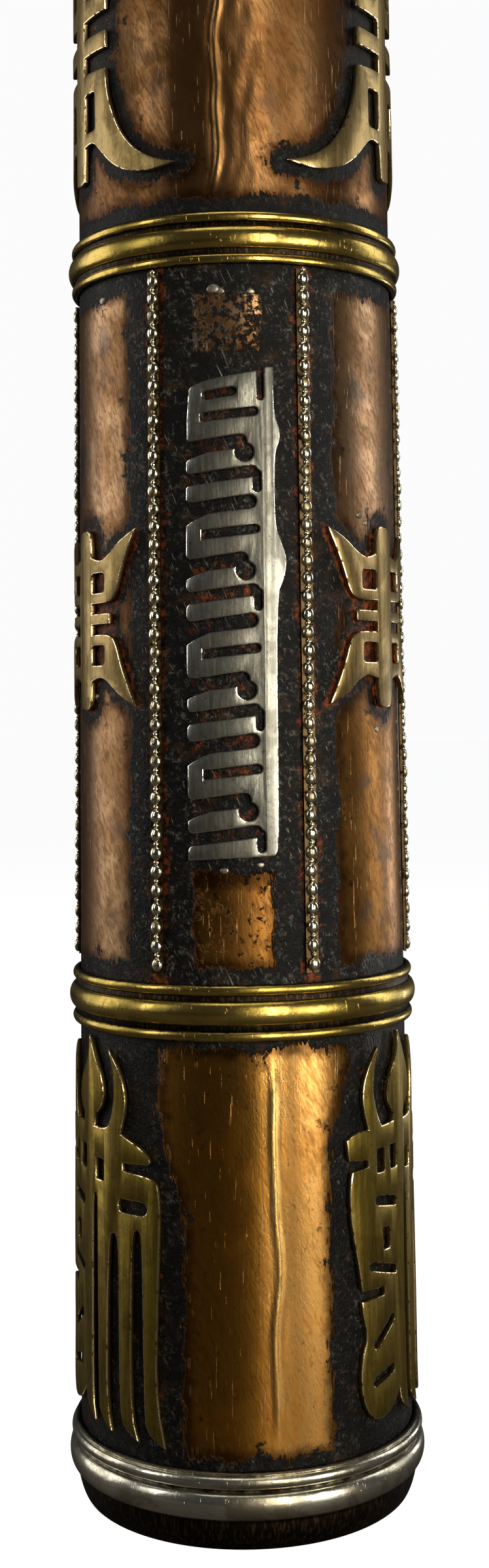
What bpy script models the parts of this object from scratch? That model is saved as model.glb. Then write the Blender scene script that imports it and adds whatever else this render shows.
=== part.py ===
"""Table-top prayer wheel: a copper drum on a spindle in a weighted white-metal foot.

Lengths are in millimetres until a mesh is made, +Z is up, and the front faces -Y.
The drum stands on the spindle's pointed tip and turns freely. Its upper part is a
lift-off lid that fits over a collar.
"""

import math

import bmesh
import bpy
from mathutils import Matrix

MM = 0.001
FIT = 0.3
MERGE = 0.00001

# The rolled copper tubes
TUBE_R = 27.0
TUBE_WALL = 0.6
TUBE_IN = TUBE_R - TUBE_WALL
SLEEVE_R = TUBE_IN - FIT
SLEEVE_IN = SLEEVE_R - TUBE_WALL
TUBE_SIDES = 40

# Heights, from the foot's underside up
FOOT_TOP = 11.6
FOOT_LEDGE = 8.4
LOWER_FROM = 9.0
LOWER_TO = 78.2
MIDDLE_FROM = 78.5
MIDDLE_TO = 200.4
UPPER_FROM = 200.8
UPPER_TO = 273.9
LOWER_BAND_FROM = 74.3
UPPER_BAND_FROM = 196.3
TOP_BAND_FROM = 270.0
DOME_TOP = 299.0
STEM_R = 1.5
TOTAL = 350.0

# The brass bands round the joints
BAND_IN = TUBE_R + FIT
BAND_R = 28.9
BAND_H = 8.6

# The foot
FOOT_R = 28.9
FOOT_RIM = 26.0
FOOT_BORE = 23.5

# The spindle and its bearings
SPINDLE_R = 3.0
SPINDLE_FROM = 1.5
SPINDLE_TIP = 189.6
FLOOR_FROM = 10.4
FLOOR_T = 1.2
BUSH_R = 5.2
BRIDGE_FROM = 190.0
BRIDGE_T = 1.6
BRIDGE_WINDOWS = 3
CUP_R = 5.0
CUP_FROM = 183.5

# The scroll
SCROLL_FROM = 18.0
SCROLL_TO = 180.0
SCROLL_IN = 7.3
SCROLL_R = 24.4
TIE_H = 8.0

# The ornaments, sawn from sheet and bent round the tubes
SHEET_T = 0.5
SHEET_IN = TUBE_R + FIT
SHEET_BEND = 4.8
FRET_ANGLES = (0, 120, 240)
STRIP_OFFSET = 26
SMALL_MEDALLION_ANGLES = (-62, 62, 180)
LARGE_MEDALLION_ANGLES = (-66, 70, 182)
EMBLEM_ANGLES = (-60, 65, 182)
SMALL_MEDALLION_Z = 140.0
LARGE_MEDALLION_Z = 237.5
SMALL_QUARTER = [
    (0, 14.9), (1.7, 14.6), (2.3, 13.2), (2.4, 10.2), (5.2, 9.4), (7.4, 10.4),
    (9.8, 12.4), (13.4, 14.3), (11.7, 10.6), (10.2, 7.2), (9.2, 4.2),
    (7.8, 2.5), (2.4, 2.5), (2.4, 0.9), (7.6, 0.9),
]
SMALL_WINDOW = (2.4, 6.2, 4.3, 7.5)
LARGE_QUARTER = [
    (0, 23.6), (1.9, 23.2), (2.2, 17.4), (5.0, 17.0), (7.3, 19.0), (10.0, 21.8),
    (13.4, 23.9), (17.2, 24.8), (23.4, 23.8), (17.6, 21.9), (14.6, 19.6),
    (11.9, 16.0), (10.2, 12.0), (9.2, 8.5), (8.9, 5.0), (2.0, 4.6), (2.0, 1.6), (8.9, 1.6),
]
LARGE_WINDOW = (2.4, 5.8, 8.4, 15.0)
FRET_FROM = 102.4
FRET_PITCH = 18.8
FRET_REPEATS = 4
STRIP_FROM = 84.4
STRIP_TO = 195.8
STRIP_W = 2.2
STRIP_T = 0.9

# The two pins that hold the joint sleeve
PIN_Z = 66.4
PIN_ANGLES = (-10, 1)
PIN_R = 0.5
PIN_HOLE_R = 0.85

COPPER = (0.36, 0.17, 0.07)
BRASS = (0.42, 0.31, 0.12)
PALE_BRASS = (0.55, 0.46, 0.27)
WHITE_METAL = (0.42, 0.40, 0.34)
STEEL = (0.45, 0.45, 0.46)
LEAD = (0.20, 0.20, 0.22)
WOOD = (0.30, 0.17, 0.08)
PAPER = (0.72, 0.62, 0.42)
CLOTH = (0.62, 0.30, 0.05)


def clear_scene():
    for obj in list(bpy.data.objects):
        bpy.data.objects.remove(obj, do_unlink=True)


def new_collection(name):
    collection = bpy.data.collections.new(name)
    bpy.context.scene.collection.children.link(collection)
    return collection


def paint(obj, colour, roughness=0.4, metallic=1.0):
    """Gives the object its own plain material."""
    material = bpy.data.materials.new(obj.name)
    material.use_nodes = True
    shader = material.node_tree.nodes["Principled BSDF"]
    shader.inputs["Base Color"].default_value = (*colour, 1.0)
    shader.inputs["Roughness"].default_value = roughness
    shader.inputs["Metallic"].default_value = metallic
    obj.data.materials.clear()
    obj.data.materials.append(material)


def add_object(name, mesh, collection):
    obj = bpy.data.objects.new(name, mesh)
    collection.objects.link(obj)
    return obj


def turned(name, profile, collection, sides=TUBE_SIDES):
    """Turns a profile of (radius, height) points round Z. It runs down the outer side.

    A profile that starts and ends on the axis makes a solid, any other one a ring.
    """
    mesh = bpy.data.meshes.new(name)
    form = bmesh.new()
    points = [form.verts.new((r * MM, 0, z * MM)) for r, z in profile]
    for first, second in zip(points, points[1:]):
        form.edges.new((first, second))
    if profile[0][0] > 0:
        form.edges.new((points[-1], points[0]))
    form.to_mesh(mesh)
    form.free()
    obj = add_object(name, mesh, collection)
    screw = obj.modifiers.new("Turn", "SCREW")
    screw.steps = sides
    screw.render_steps = sides
    screw.use_merge_vertices = True
    screw.merge_threshold = MERGE
    screw.use_smooth_shade = True
    return obj


def pipe(name, outer, inner, low, high, collection, sides=TUBE_SIDES):
    """A plain tube or washer."""
    profile = [(outer, high), (outer, low), (inner, low), (inner, high)]
    return turned(name, profile, collection, sides)


def flat_plate(name, outlines, half_thickness, collection):
    """A flat sheet from closed 2D outlines, the first the edge and the others holes."""
    curve = bpy.data.curves.new(name, "CURVE")
    curve.dimensions = "2D"
    curve.fill_mode = "BOTH"
    curve.extrude = half_thickness * MM
    for outline in outlines:
        spline = curve.splines.new("POLY")
        spline.points.add(len(outline) - 1)
        for point, (x, y) in zip(spline.points, outline):
            point.co = (x * MM, y * MM, 0, 1)
        spline.use_cyclic_u = True
    flat = add_object(name + "_flat", curve, collection)
    bpy.context.view_layer.update()
    graph = bpy.context.evaluated_depsgraph_get()
    mesh = bpy.data.meshes.new_from_object(flat.evaluated_get(graph))
    mesh.transform(flat.matrix_world)
    bpy.data.objects.remove(flat, do_unlink=True)
    form = bmesh.new()
    form.from_mesh(mesh)
    bmesh.ops.remove_doubles(form, verts=form.verts[:], dist=MERGE)
    bmesh.ops.recalc_face_normals(form, faces=form.faces[:])
    form.to_mesh(mesh)
    form.free()
    return add_object(name, mesh, collection)


def cut_away(obj, cutters, helpers):
    """Cuts the cutter objects out of the object."""
    group = bpy.data.collections.new(obj.name + "_cutters")
    helpers.children.link(group)
    for cutter in cutters:
        helpers.objects.unlink(cutter)
        group.objects.link(cutter)
        cutter.hide_render = True
        cutter.display_type = "WIRE"
    cut = obj.modifiers.new("Cut", "BOOLEAN")
    cut.operation = "DIFFERENCE"
    cut.solver = "EXACT"
    cut.operand_type = "COLLECTION"
    cut.collection = group


def wrapped_plate(name, outline, cuts, angle, collection, helpers):
    """A sawn sheet bent round the tube. The outline is (arc length, height), 0 at the angle."""
    obj = flat_plate(name, [outline], SHEET_T / 2, collection)
    cutters = [
        flat_plate(f"{name}_cut_{i}", [shape], SHEET_T, helpers)
        for i, shape in enumerate(cuts)
    ]
    cut_away(obj, cutters, helpers)
    bpy.context.view_layer.update()
    graph = bpy.context.evaluated_depsgraph_get()
    mesh = bpy.data.meshes.new_from_object(obj.evaluated_get(graph))
    obj.modifiers.clear()
    obj.data = mesh
    form = bmesh.new()
    form.from_mesh(mesh)
    bmesh.ops.dissolve_limit(
        form, angle_limit=math.radians(1), verts=form.verts[:], edges=form.edges[:]
    )
    left = min(x for x, _ in outline)
    right = max(x for x, _ in outline)
    bends = math.ceil((right - left) / SHEET_BEND)
    for i in range(1, bends):
        x = left + (right - left) * i / bends
        bmesh.ops.bisect_plane(
            form,
            geom=form.verts[:] + form.edges[:] + form.faces[:],
            dist=MERGE / 10,
            plane_co=(x * MM, 0, 0),
            plane_no=(1, 0, 0),
        )
    middle = SHEET_IN + SHEET_T / 2
    for point in form.verts:
        turn = math.radians(angle) + point.co.x / (TUBE_R * MM)
        radius = middle * MM + point.co.z
        point.co = (radius * math.sin(turn), -radius * math.cos(turn), point.co.y)
    form.to_mesh(mesh)
    form.free()
    return obj


def arc(x, y, radius, start, end, steps):
    """Points round a centre, in degrees from +X."""
    turns = [math.radians(start + (end - start) * i / steps) for i in range(steps + 1)]
    return [(x + radius * math.cos(t), y + radius * math.sin(t)) for t in turns]


def disc(x, y, radius, sides=8):
    return arc(x, y, radius, 0, 360 * (sides - 1) / sides, sides - 1)


def slot(x0, y0, x1, y1, width, ends=2):
    """A straight slot with round ends."""
    lie = math.degrees(math.atan2(y1 - y0, x1 - x0))
    half = width / 2
    first = arc(x0, y0, half, lie + 90, lie + 270, ends)
    last = arc(x1, y1, half, lie - 90, lie + 90, ends)
    return first + last


def box(x0, y0, x1, y1):
    return [(x0, y0), (x1, y0), (x1, y1), (x0, y1)]


def foot_parts(collection):
    """The foot's turned ring, base plate, weight and spindle: all that stands still."""
    lip = TUBE_R + FIT
    ring = turned(
        "foot_ring",
        [
            (28.0, FOOT_TOP), (27.8, 11.0), (28.5, 10.6), (28.5, 9.6), (27.8, 9.1),
            (28.6, 8.5), (FOOT_R, 7.6), (FOOT_R, 6.0), (28.5, 5.0), (27.7, 4.6),
            (27.0, 1.4), (FOOT_RIM, 0),
            (FOOT_BORE, 0), (FOOT_BORE, FOOT_LEDGE), (lip, FOOT_LEDGE), (lip, FOOT_TOP),
        ],
        collection,
    )
    paint(ring, WHITE_METAL, 0.35)
    plate_r = FOOT_BORE - FIT
    plate = turned("base_plate", [(0, 1.2), (plate_r, 1.2), (plate_r, 0), (0, 0)], collection)
    paint(plate, WHITE_METAL, 0.5)
    weight = pipe("foot_weight", plate_r, SPINDLE_R + FIT, 2.8, 7.0, collection, 32)
    paint(weight, LEAD, 0.6)
    tip_base = SPINDLE_TIP - SPINDLE_R
    spindle = turned(
        "spindle",
        [
            (0, SPINDLE_TIP), (SPINDLE_R, tip_base), (SPINDLE_R, 2.5),
            (6.0, 2.5), (6.0, SPINDLE_FROM), (0, SPINDLE_FROM),
        ],
        collection,
        16,
    )
    paint(spindle, STEEL, 0.3)
    nut = hex_nut("spindle_nut", SPINDLE_R + FIT, 6.2, 7.3, 9.5, collection)
    paint(nut, STEEL, 0.35)


def hex_nut(name, bore, corner, low, high, collection):
    """A hexagon nut, its hole a second outline of the same sheet."""
    nut = flat_plate(
        name, [disc(0, 0, corner, 6), disc(0, 0, bore, 12)], (high - low) / 2, collection
    )
    nut.data.transform(Matrix.Translation((0, 0, (low + high) / 2 * MM)))
    return nut


def pin_drill(name, radius, angle, helpers):
    """A round bar along the tube's radius, through the tube and the sleeve."""
    depth = 6.0
    bpy.ops.mesh.primitive_cylinder_add(vertices=8, radius=radius * MM, depth=depth * MM)
    drill = bpy.context.active_object
    drill.name = name
    turn = math.radians(angle)
    lay = Matrix.Rotation(turn, 4, "Z") @ Matrix.Translation((0, -TUBE_R * MM, PIN_Z * MM))
    drill.data.transform(lay @ Matrix.Rotation(math.pi / 2, 4, "X"))
    for home in list(drill.users_collection):
        home.objects.unlink(drill)
    helpers.objects.link(drill)
    return drill


def drill_pin_holes(obj, helpers):
    drills = [
        pin_drill(f"{obj.name}_drill_{i}", PIN_HOLE_R, angle, helpers)
        for i, angle in enumerate(PIN_ANGLES)
    ]
    cut_away(obj, drills, helpers)


def sleeve_pin(number, angle, collection):
    """A short pin, its outer end just under the tube's surface."""
    inner = SLEEVE_IN - FIT
    outer = TUBE_R - 0.1
    bpy.ops.mesh.primitive_cylinder_add(
        vertices=8, radius=PIN_R * MM, depth=(outer - inner) * MM
    )
    pin = bpy.context.active_object
    pin.name = f"sleeve_pin_{number}"
    pin.data.name = pin.name
    lay = Matrix.Translation((0, -(inner + outer) / 2 * MM, PIN_Z * MM))
    turn = Matrix.Rotation(math.radians(angle), 4, "Z")
    pin.data.transform(turn @ lay @ Matrix.Rotation(math.pi / 2, 4, "X"))
    for home in list(pin.users_collection):
        home.objects.unlink(pin)
    collection.objects.link(pin)
    paint(pin, BRASS, 0.5)


def moulded_band(name, low, collection):
    """A thin bead, a thick one and a thin one, with grooves between."""
    groove = BAND_IN + 0.5
    thin = 28.3
    half = [(thin, 0.0), (thin, 1.6), (groove, 2.0), (28.5, 2.9), (BAND_R, BAND_H / 2)]
    upper = [(r, low + BAND_H - z) for r, z in half]
    lower = [(r, low + z) for r, z in reversed(half[:-1])]
    inner = [(BAND_IN, low), (BAND_IN, low + BAND_H)]
    band = turned(name, upper + lower + inner, collection)
    paint(band, BRASS, 0.3)


def drum_shell(collection, helpers):
    """The two lower tubes, the band over their joint, the sleeve inside it and the collar."""
    lower = pipe("lower_tube", TUBE_R, TUBE_IN, LOWER_FROM, LOWER_TO, collection)
    middle = pipe("middle_tube", TUBE_R, TUBE_IN, MIDDLE_FROM, MIDDLE_TO, collection)
    sleeve = pipe("joint_sleeve", SLEEVE_R, SLEEVE_IN, 63.0, 90.0, collection)
    collar = pipe("lid_collar", SLEEVE_R, SLEEVE_IN, 186.0, 216.0, collection)
    for part in (lower, sleeve):
        drill_pin_holes(part, helpers)
    for part in (lower, middle):
        paint(part, COPPER, 0.4)
    for part in (sleeve, collar):
        paint(part, BRASS, 0.45)
    for number, angle in enumerate(PIN_ANGLES, 1):
        sleeve_pin(number, angle, collection)
    moulded_band("lower_band", LOWER_BAND_FROM, collection)


def drum_bearings(collection, helpers):
    """The floor with its bush, and the bridge whose cup rests on the spindle's tip."""
    floor_top = FLOOR_FROM + FLOOR_T
    floor = pipe("drum_floor", SLEEVE_R, BUSH_R + FIT, FLOOR_FROM, floor_top, collection)
    paint(floor, COPPER, 0.5)
    flange = floor_top + FIT
    bore = SPINDLE_R + FIT
    bush = turned(
        "lower_bush",
        [
            (BUSH_R, 15.9), (BUSH_R, flange + 1.0), (8.0, flange + 1.0), (8.0, flange),
            (BUSH_R, flange), (BUSH_R, 9.9), (bore, 9.9), (bore, 15.9),
        ],
        collection,
        16,
    )
    paint(bush, BRASS, 0.35)
    bridge_r = SLEEVE_IN - FIT
    bridge_top = BRIDGE_FROM + BRIDGE_T
    bridge = pipe("pivot_bridge", bridge_r, CUP_R + FIT, BRIDGE_FROM, bridge_top, collection)
    windows = []
    for i in range(BRIDGE_WINDOWS):
        turn = math.radians(360 * i / BRIDGE_WINDOWS)
        centre = (15.2 * math.cos(turn), 15.2 * math.sin(turn))
        window = flat_plate(f"bridge_window_{i}", [disc(*centre, 7.2, 16)], 2, helpers)
        window.data.transform(Matrix.Translation((0, 0, (BRIDGE_FROM + BRIDGE_T / 2) * MM)))
        windows.append(window)
    cut_away(bridge, windows, helpers)
    paint(bridge, BRASS, 0.45)
    cone_top = SPINDLE_TIP + 0.4
    mouth = 3.6
    cup = turned(
        "bearing_cup",
        [
            (0, 194.6), (4.0, 194.4), (7.5, 193.4), (7.5, bridge_top + FIT),
            (CUP_R, bridge_top + FIT), (CUP_R, CUP_FROM), (mouth, CUP_FROM),
            (mouth, cone_top - mouth), (0, cone_top),
        ],
        collection,
        16,
    )
    paint(cup, STEEL, 0.3)


def scroll_parts(collection):
    """The rolled prayers round their wooden core, tied twice."""
    core = pipe("scroll_core", 7.0, 5.8, SCROLL_FROM - 1.5, SCROLL_TO + 1.5, collection, 16)
    paint(core, WOOD, 0.7, 0)
    roll = pipe("mantra_scroll", SCROLL_R, SCROLL_IN, SCROLL_FROM, SCROLL_TO, collection, 32)
    paint(roll, PAPER, 0.9, 0)
    for name, low in (("lower", 38.0), ("upper", 140.0)):
        tie_in = SCROLL_R + FIT
        tie = pipe(f"scroll_tie_{name}", tie_in + 0.5, tie_in, low, low + TIE_H, collection, 32)
        paint(tie, CLOTH, 0.9, 0)


def bead_strips(collection):
    """Half-round strips up the middle tube, a pair beside each fret plate."""
    half = STRIP_W / 2
    section = [(-half, 0), (half, 0)] + arc(0, 0.25, half, 8, 172, 4)
    flat = [(x, y * STRIP_T / (half + 0.25)) for x, y in section]
    height = STRIP_TO - STRIP_FROM
    number = 0
    for middle in FRET_ANGLES:
        for side in (-1, 1):
            number += 1
            strip = flat_plate(f"bead_strip_{number}", [flat], height / 2, collection)
            place = Matrix.Translation((0, SHEET_IN * MM, (STRIP_FROM + height / 2) * MM))
            turn = math.radians(middle + side * STRIP_OFFSET + 180)
            strip.data.transform(Matrix.Rotation(turn, 4, "Z") @ place)
            paint(strip, PALE_BRASS, 0.3)


def fret_shapes():
    """A plain repeating fret: bars off an upright rail, some with a rounded shoulder."""
    rail = 7.1
    edge = -6.9
    outline = [
        (edge, 101.8), (6.4, 102.4), (rail, 104.0), (rail, 142.5), (8.6, 146), (8.9, 149),
        (8.0, 151.5), (rail, 154), (rail, 165.5), (8.0, 167.5), (8.0, 169.5), (rail, 172),
        (rail, 179.5), (5.7, 179.5), (5.2, 178.9), (-5.2, 177.2), (edge, 175.0),
    ]
    out = edge - 1
    slope = 0.1

    def bar_gap(y, width, left, right, shoulder=0.0):
        """A gap between two bars, rising a little to the right."""
        half = width / 2
        end = arc(right - half, y + slope * right, half, -90, 90, 2)
        top = (left, y + slope * left + half)
        if not shoulder:
            return [(left, y + slope * left - half)] + end + [top]
        knee = (edge + 3.6, y - slope * 3.3 - half)
        bend = (edge + 1.2, y - half - shoulder * 0.5)
        return [(left, y - half - shoulder), bend, knee] + end + [top]

    cuts = []
    for repeat in range(FRET_REPEATS):
        base = FRET_FROM + repeat * FRET_PITCH
        cuts += [
            bar_gap(base + 3.4, 1.8, out, 4.4),
            slot(4.3, base + 1.2, 4.3, base + 3.4, 1.3),
            bar_gap(base + 8.4, 2.2, out, 2.8, 2.4),
            disc(2.4, base + 6.9, 1.5, 7),
            bar_gap(base + 13.0, 1.4, -4.4, 4.6),
        ]
        if repeat < FRET_REPEATS - 1:
            cuts.append(bar_gap(base + 17.4, 2.2, out, 4.2, 3.0))
    cuts.append(slot(-3.4, 174.9, 0.6, 175.5, 1.4))
    cuts.append(slot(5.0, 174.6, 5.0, 180.5, 1.0))
    return outline, cuts


def mirrored(quarter):
    """The whole outline from its upper right quarter, which starts at the top."""
    right = quarter + [(x, -y) for x, y in reversed(quarter) if y > 0]
    return right + [(-x, y) for x, y in reversed(right) if x > 0]


def medallion_shapes(quarter, window, height):
    """An upright stem with a bar across it and four crescent horns."""
    outline = [(x, y + height) for x, y in mirrored(quarter)]
    left, right, low, high = window
    cuts = []
    for across in (-1, 1):
        for up in (-1, 1):
            xs = sorted((across * left, across * right))
            ys = sorted((height + up * low, height + up * high))
            cuts.append(box(xs[0], ys[0], xs[1], ys[1]))
    return outline, cuts


def emblem_shapes():
    """A body with long legs on its right, a solid plate on its left and a flame on top."""
    flame = [
        (1.8, 59.6), (2.0, 61.2), (4.0, 62.6), (4.7, 65.0), (4.0, 67.6), (2.4, 70.0),
        (0.2, 73.6), (-0.4, 69.6), (-2.8, 67.0), (-3.8, 64.4), (-3.2, 62.2), (-1.8, 61.0),
        (-2.0, 59.8),
    ]
    hook = [
        (5.4, 59.6), (6.6, 61.6), (7.4, 65.0), (7.0, 68.6), (6.0, 72.0), (8.4, 69.2),
        (9.8, 65.6), (9.6, 62.4), (8.6, 59.4),
    ]
    left_hook = [(-x, y) for x, y in hook]
    right_edge = [
        (13.4, 57.6), (14.6, 56.0), (14.4, 55.3), (9.2, 55.0), (9.2, 53.9), (15.2, 53.6),
        (16.2, 51.6), (16.2, 44.0), (15.2, 22.0), (17.0, 13.9), (14.0, 15.6),
        (13.2, 18.4), (13.0, 44.4), (12.2, 45.4), (11.0, 44.6), (10.6, 18.6),
        (12.2, 14.2), (9.2, 15.8), (8.2, 18.6), (8.2, 43.0), (7.2, 44.2), (5.7, 43.4),
        (5.2, 18.6), (6.6, 14.4), (3.8, 16.0), (2.9, 18.6), (2.9, 48.4), (2.2, 49.4),
        (1.2, 48.6), (1.0, 19.0), (2.0, 14.8), (-0.6, 16.2), (-1.4, 19.0),
    ]
    left_edge = [
        (-3.6, 16.6), (-7.6, 15.6), (-10.0, 17.4), (-11.2, 21.0), (-10.9, 25.4),
        (-9.6, 28.6), (-10.6, 32.0), (-10.7, 34.0), (-5.4, 34.0), (-5.4, 35.2),
        (-10.6, 35.4), (-11.2, 39.0), (-12.4, 45.0), (-12.8, 50.6), (-12.2, 53.6),
        (-8.8, 53.8), (-8.8, 54.9), (-12.8, 55.2), (-13.2, 58.4), (-11.0, 59.6),
    ]
    outline = hook[::-1] + flame + left_hook + left_edge[::-1] + right_edge[::-1]
    cuts = [
        slot(9.2, 48.6, 13.0, 48.6, 2.0),
        box(2.2, 51.6, 4.6, 54.8),
        box(-3.2, 52.6, -1.0, 56.2),
        box(-6.8, 52.6, -4.6, 56.2),
        slot(-6.6, 48.4, -2.2, 47.6, 1.4),
        box(-5.6, 40.8, -3.6, 44.0),
        slot(-8.4, 38.8, -2.4, 37.2, 1.2),
        slot(-7.6, 27.0, -3.2, 30.0, 1.3),
        slot(-8.0, 21.6, -3.6, 22.6, 1.3),
    ]
    return outline, cuts


def ornaments(name, angles, shapes, colour, collection, helpers):
    outline, cuts = shapes
    for number, angle in enumerate(angles, 1):
        plate = wrapped_plate(f"{name}_{number}", outline, cuts, angle, collection, helpers)
        paint(plate, colour, 0.4)


def lid_parts(collection, helpers):
    """The upper tube with its bands, dome and finial: what lifts off."""
    tube = pipe("upper_tube", TUBE_R, TUBE_IN, UPPER_FROM, UPPER_TO, collection)
    paint(tube, COPPER, 0.5)
    moulded_band("upper_band", UPPER_BAND_FROM, collection)
    moulded_band("top_band", TOP_BAND_FROM, collection)
    shoulder = UPPER_TO + FIT
    stem_hole = STEM_R + FIT
    dome = turned(
        "dome",
        [
            (9.0, DOME_TOP), (15.0, 295.6), (20.8, 291.0), (25.0, 285.4),
            (TUBE_R, 279.4), (TUBE_R, shoulder), (SLEEVE_R, shoulder),
            (SLEEVE_R, 266.0), (SLEEVE_IN, 266.0), (SLEEVE_IN, 280.8),
            (19.8, 290.2), (9.0, 297.2), (stem_hole, 297.6), (stem_hole, DOME_TOP),
        ],
        collection,
    )
    paint(dome, COPPER, 0.4)
    base = DOME_TOP + FIT
    collar_h = 7.0
    collar = turned(
        "finial_collar",
        [
            (8.0, base + collar_h), (9.0, base + collar_h - 0.6), (9.0, base + 5.2),
            (7.6, base + 4.4), (9.6, base + 3.0), (11.4, base + 1.4), (11.2, base),
            (stem_hole, base), (stem_hole, base + collar_h),
        ],
        collection,
        32,
    )
    paint(collar, WHITE_METAL, 0.35)
    foot = base + collar_h + FIT
    finial = turned(
        "finial",
        [
            (0, TOTAL), (1.0, TOTAL - 1.6), (1.4, 344.0), (3.4, 338.0), (6.6, 332.6),
            (8.4, 326.8), (8.0, 321.6), (5.4, 317.2), (3.6, 315.2), (4.6, 313.6),
            (6.4, 311.4), (7.2, 309.2), (7.2, foot), (stem_hole, foot),
            (stem_hole, 318.4), (0, 318.4),
        ],
        collection,
        24,
    )
    paint(finial, BRASS, 0.3)
    stem = turned(
        "finial_stem", [(0, 318.0), (STEM_R, 317.6), (STEM_R, 292.4), (0, 292.4)], collection, 12
    )
    paint(stem, STEEL, 0.35)
    nut = hex_nut("finial_nut", stem_hole, 4.4, 294.0, 297.0, collection)
    paint(nut, STEEL, 0.35)


def main():
    clear_scene()
    bpy.context.scene.unit_settings.scale_length = 1.0
    wheel = new_collection("prayer_wheel")
    helpers = new_collection("cutters")
    foot_parts(wheel)
    drum_shell(wheel, helpers)
    drum_bearings(wheel, helpers)
    scroll_parts(wheel)
    bead_strips(wheel)
    ornaments("fret_plate", FRET_ANGLES, fret_shapes(), WHITE_METAL, wheel, helpers)
    small = medallion_shapes(SMALL_QUARTER, SMALL_WINDOW, SMALL_MEDALLION_Z)
    ornaments("small_medallion", SMALL_MEDALLION_ANGLES, small, BRASS, wheel, helpers)
    large = medallion_shapes(LARGE_QUARTER, LARGE_WINDOW, LARGE_MEDALLION_Z)
    ornaments("large_medallion", LARGE_MEDALLION_ANGLES, large, BRASS, wheel, helpers)
    ornaments("emblem", EMBLEM_ANGLES, emblem_shapes(), BRASS, wheel, helpers)
    lid_parts(wheel, helpers)
    helpers.hide_render = True


main()
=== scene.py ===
import math
import random

import bpy
import numpy as np
from mathutils import Matrix, Vector, noise


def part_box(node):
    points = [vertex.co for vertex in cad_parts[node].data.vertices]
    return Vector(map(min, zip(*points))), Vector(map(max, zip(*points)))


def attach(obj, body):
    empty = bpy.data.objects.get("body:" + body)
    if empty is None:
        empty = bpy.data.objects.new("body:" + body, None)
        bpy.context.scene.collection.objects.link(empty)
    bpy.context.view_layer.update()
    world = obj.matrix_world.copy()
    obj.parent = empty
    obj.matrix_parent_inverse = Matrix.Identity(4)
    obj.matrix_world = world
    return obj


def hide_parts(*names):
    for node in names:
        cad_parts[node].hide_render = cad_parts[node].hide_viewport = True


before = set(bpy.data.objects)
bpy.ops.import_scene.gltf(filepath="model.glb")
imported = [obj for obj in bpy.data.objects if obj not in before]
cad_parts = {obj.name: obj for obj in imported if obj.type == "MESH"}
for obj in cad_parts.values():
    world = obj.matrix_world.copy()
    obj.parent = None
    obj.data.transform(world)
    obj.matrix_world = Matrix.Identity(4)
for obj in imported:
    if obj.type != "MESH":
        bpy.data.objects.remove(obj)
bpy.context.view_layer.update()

# A table-top prayer wheel in patinated copper, old brass and white metal

MM = 0.001
FULL_TURN = 2 * math.pi

# Sizes in millimetres, with the tube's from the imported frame, and angles in degrees from the front
TUBE_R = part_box("middle_tube")[1][0] / MM
WALL = 0.6
SHEET_T = 0.85
SHEET_IN = TUBE_R + 0.15
BAND_IN = TUBE_R + 0.3
UNEVEN = 0.05
FRET_ANGLES = (0, 120, 240)
STRIP_OFFSET = 26
SMALL_ANGLES = (-62, 62, 180)
LARGE_ANGLES = (-66, 70, 182)
EMBLEM_ANGLES = (-60, 65, 182)
STRIP_ANGLES = [middle + side * STRIP_OFFSET for middle in FRET_ANGLES for side in (-1, 1)]
COPPER_PANEL_ANGLES = (0, 117, 234.5)
STEM_HOLE = 1.8
BEADS_IN_STRIP = 39
SCROLL_TURNS = 30
SCROLL_IN = 7.5


def span(node):
    """A node's lowest and highest points in millimetres."""
    low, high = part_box(node)
    return low[2] / MM, high[2] / MM


SMALL_MIDDLE = sum(span("small_medallion_1")) / 2
LARGE_MIDDLE = sum(span("large_medallion_1")) / 2


# ---------------------------------------------------------------- benchwork


def put_down():
    """Leaves nothing selected."""
    bpy.ops.object.select_all(action="DESELECT")


def take(piece):
    put_down()
    piece.select_set(True)
    bpy.context.view_layer.objects.active = piece
    return piece


def smooth(piece, degrees=32):
    take(piece)
    bpy.ops.object.shade_smooth_by_angle(angle=math.radians(degrees))
    return piece


def settle(piece):
    """Puts the piece's place into its mesh."""
    take(piece)
    bpy.ops.object.transform_apply(location=True, rotation=True, scale=True)
    return piece


def traced(name, points):
    """A line through the points, in millimetres, drawn by extruding one point along it."""
    put_down()
    bpy.ops.mesh.primitive_plane_add(size=MM, location=(0, 0, 0))
    piece = bpy.context.active_object
    piece.name = name
    bpy.ops.object.mode_set(mode="EDIT")
    bpy.ops.mesh.merge(type="CENTER")
    line = [Vector(point) * MM for point in points]
    bpy.ops.transform.translate(value=line[0])
    for start, end in zip(line, line[1:]):
        bpy.ops.mesh.extrude_region_move(TRANSFORM_OT_translate={"value": end - start})
    bpy.ops.mesh.select_all(action="SELECT")
    bpy.ops.mesh.remove_doubles(threshold=1e-6)
    return piece


def spun(name, profile, sides=160, edge=32):
    """Spins a profile of (radius, height) points round the axis."""
    piece = traced(name, [(radius, 0, height) for radius, height in profile])
    bpy.ops.mesh.spin(steps=sides, angle=FULL_TURN, center=(0, 0, 0), axis=(0, 0, 1))
    bpy.ops.mesh.select_all(action="SELECT")
    bpy.ops.mesh.remove_doubles(threshold=2e-6)
    bpy.ops.mesh.normals_make_consistent(inside=False)
    bpy.ops.object.mode_set(mode="OBJECT")
    return smooth(piece, edge)


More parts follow.
